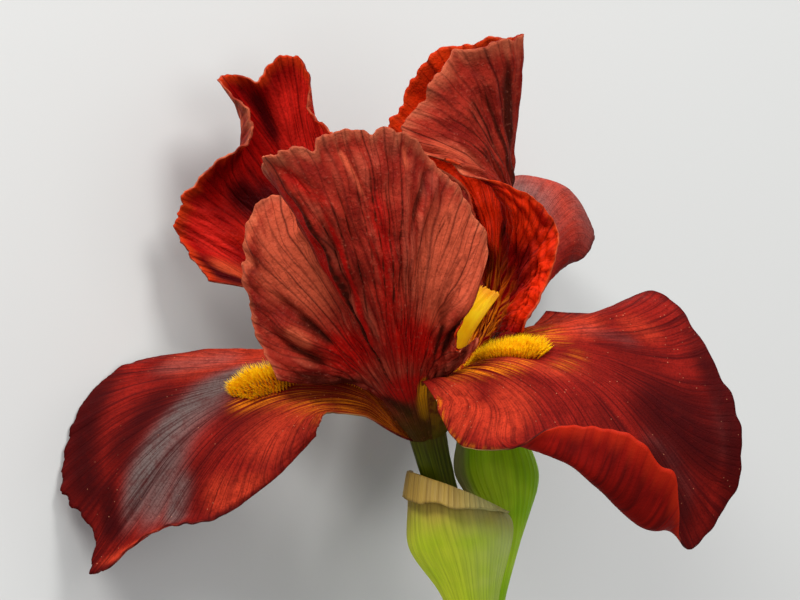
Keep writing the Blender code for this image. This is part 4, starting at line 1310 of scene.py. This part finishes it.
def add_beard(side, petal, finish):
    """A dense brush of hairs along the middle of a fall, longest and leaning out at its end."""
    middle, (start, end), inner, full = BEARDS[side]
    draw = np.random.default_rng(round(petal["phase"] * 10))
    part = ((np.arange(HAIR_COUNT) + draw.random(HAIR_COUNT)) / HAIR_COUNT) ** 0.8
    sideways = draw.uniform(-1, 1, HAIR_COUNT)
    fullness = inner + (1 - inner) * smooth(part, full - 0.3, full)
    fullness = fullness * (1 - 0.5 * smooth(part, 0.85, 1.0))
    across, along = parameters(*BEARD_CELLS)
    grid = surface_points(petal_net(petal), across, along)
    grid = grid + ruffle(petal, across, along)[..., None] * normals(grid)
    up = normals(grid)
    up *= math.copysign(1, up[len(up) // 2, up.shape[1] // 2] @ AXIS)
    ahead = unit(np.gradient(grid, axis=0))
    over = unit(np.gradient(grid, axis=1))
    hair = hair_shape()
    shape = places_of(hair)
    height = shape[:, 2:3]
    flat = shape * (HAIR_RADIUS, HAIR_RADIUS, 0)
    work = bmesh.new()
    places, shares = [], []
    for i in range(HAIR_COUNT):
        row = int((start + (end - start) * part[i]) * (len(grid) - 1))
        width = np.linalg.norm(grid[row, -1] - grid[row, 0])
        place = middle + BEARD_HALF_WIDTH * fullness[i] * sideways[i] / width
        column = int(place * (grid.shape[1] - 1))
        rise = up[row, column]
        length = HAIR_BASE + HAIR_GROWTH * fullness[i] * (1 - 0.35 * sideways[i] ** 2)
        length = length * draw.uniform(0.45, 1.1)
        out = HAIR_LEAN_SIDEWAYS * sideways[i] + draw.normal(0, HAIR_STRAY_SIDEWAYS)
        forward = 0.1 + HAIR_LEAN_AHEAD * part[i] ** 2 + draw.normal(0, HAIR_STRAY_AHEAD)
        lean = over[row, column] * out + ahead[row, column] * forward
        turn = np.array(Vector(rise).to_track_quat("Z", "X").to_matrix())
        work.from_mesh(hair)
        places.append(grid[row, column] + flat @ turn.T + length * (height * rise + height**1.6 * lean))
        shares.append(np.hstack((np.full_like(height, part[i]), height)))
    mesh = mesh_of("beard_" + side, work)
    mesh.vertices.foreach_set("co", np.concatenate(places).ravel())
    add_blade_map(mesh, np.concatenate(shares))
    mesh.update()
    add_piece("beard_" + side, mesh, [finish])


def add_bract(name, net, finish):
    """A sheathing bract, finely ribbed, with a torn and crumpled free edge."""
    across, along = parameters(*BRACT_CELLS)
    torn = ripples(across, 0, (2, 0), 3) + 0.2 * ripples(across, 0, (12, 0), 4)
    grid = surface_points(net, across, along * (1 + BRACT_TEAR * torn * along**4))
    ribs = BRACT_RIB_HEIGHT * np.cos(2 * math.pi * BRACT_RIBS * across) * smooth(along, 0.85, 0.6)
    crumpled = BRACT_CRUMPLE * smooth(along, 0.6, 1.0) * ripples(across, along, (2.5, 2), 8)
    mesh = grid_mesh(name, grid + (ribs + crumpled)[..., None] * normals(grid))
    add_sheet(name, mesh, [finish], BRACT_WALL)


def add_petals():
    """The standards and falls, each with its two faces and its rim."""
    outer, inner = standard_outer(), standard_inner()
    upper, under = fall_upper("fall_upper", 0.68), fall_under()
    upper_back = fall_upper("fall_upper_back", 0.22)
    pale_rim = rim("standard_rim", hue(126, 34, 22), hue(184, 88, 58), hue(206, 66, 22))
    dark_rim = rim("fall_rim", hue(66, 10, 8), hue(140, 40, 24), hue(236, 186, 110))
    for name, petal in PETALS.items():
        slot = name.split("_")[0]
        faces = [outer, inner]
        if slot == "fall":
            faces = [upper_back if name == "fall_back" else upper, under]
        if petal.get("turned"):
            faces.reverse()
        add_petal(name, petal, [*faces, pale_rim if slot == "standard" else dark_rim])


def add_flower():
    """Every piece of the flower, from the petals down to the stem."""
    add_petals()
    beard = beard_finish()
    for side in BEARDS:
        add_beard(side, PETALS["fall_" + side], beard)
    style, stamen = style_finish(), stamen_finish()
    for side in STYLE_ARMS:
        add_style_arm(side, style)
        add_stamen(side, stamen)
    add_tube()
    add_stem()
    front = bract_finish("bract_front", hue(190, 220, 24), hue(220, 232, 52), 0.62)
    add_bract("bract_front", FRONT_BRACT, front)
    back = bract_finish("bract_back", hue(150, 204, 0), hue(188, 226, 34), 1.0)
    add_bract("bract_back", BACK_BRACT, back)


def add_camera():
    """The camera, which looks at the blossom from the front."""
    data = bpy.data.cameras.new("camera")
    data.lens = CAMERA_LENS
    data.sensor_width = CAMERA_SENSOR
    data.clip_start, data.clip_end = CAMERA_CLIP
    camera = in_scene("camera", data)
    place, aim = in_place(CAMERA_PLACE), in_place(CAMERA_AIM)
    back = (place - aim).normalized()
    right = (in_place((0, 1, 0)) - in_place((0, 0, 0))).cross(back).normalized()
    turn = Matrix((right, back.cross(right), back)).transposed()
    camera.matrix_world = Matrix.Translation(place) @ turn.to_4x4()
    bpy.context.scene.camera = camera


def add_lamp(name, way, distance, size, power):
    """A soft round lamp that shines on the blossom."""
    data = bpy.data.lights.new(name, "AREA")
    data.shape = "DISK"
    data.size = size
    data.energy = power
    lamp = in_scene(name, data)
    lamp.location = in_place(LAMP_AIM + distance * np.array(way) / np.linalg.norm(way))
    lamp.rotation_euler = (lamp.location - in_place(LAMP_AIM)).to_track_quat("Z", "Y").to_euler()


def add_floor():
    """A wide plain floor."""
    work = bmesh.new()
    bmesh.ops.create_grid(work, x_segments=1, y_segments=1, size=FLOOR_HALF_WIDTH)
    mesh = mesh_of("floor", work)
    paint = bpy.data.materials.new("floor")
    paint.use_nodes = True
    shader = paint.node_tree.nodes["Principled BSDF"]
    shader.inputs["Base Color"].default_value = hue(206, 206, 203)
    shader.inputs["Roughness"].default_value = 0.8
    mesh.materials.append(paint)
    floor = in_scene("floor", mesh)


def add_daylight():
    """The even light of the room."""
    world = bpy.data.worlds.new("studio")
    world.use_nodes = True
    sky = world.node_tree.nodes["Background"]
    sky.inputs["Color"].default_value = SKY_COLOUR
    sky.inputs["Strength"].default_value = SKY_STRENGTH
    bpy.context.scene.world = world
    bpy.context.scene.view_settings.view_transform = "Standard"


add_flower()
add_camera()
add_floor()
add_daylight()
for name, lamp in LAMPS.items():
    add_lamp(name, *lamp)
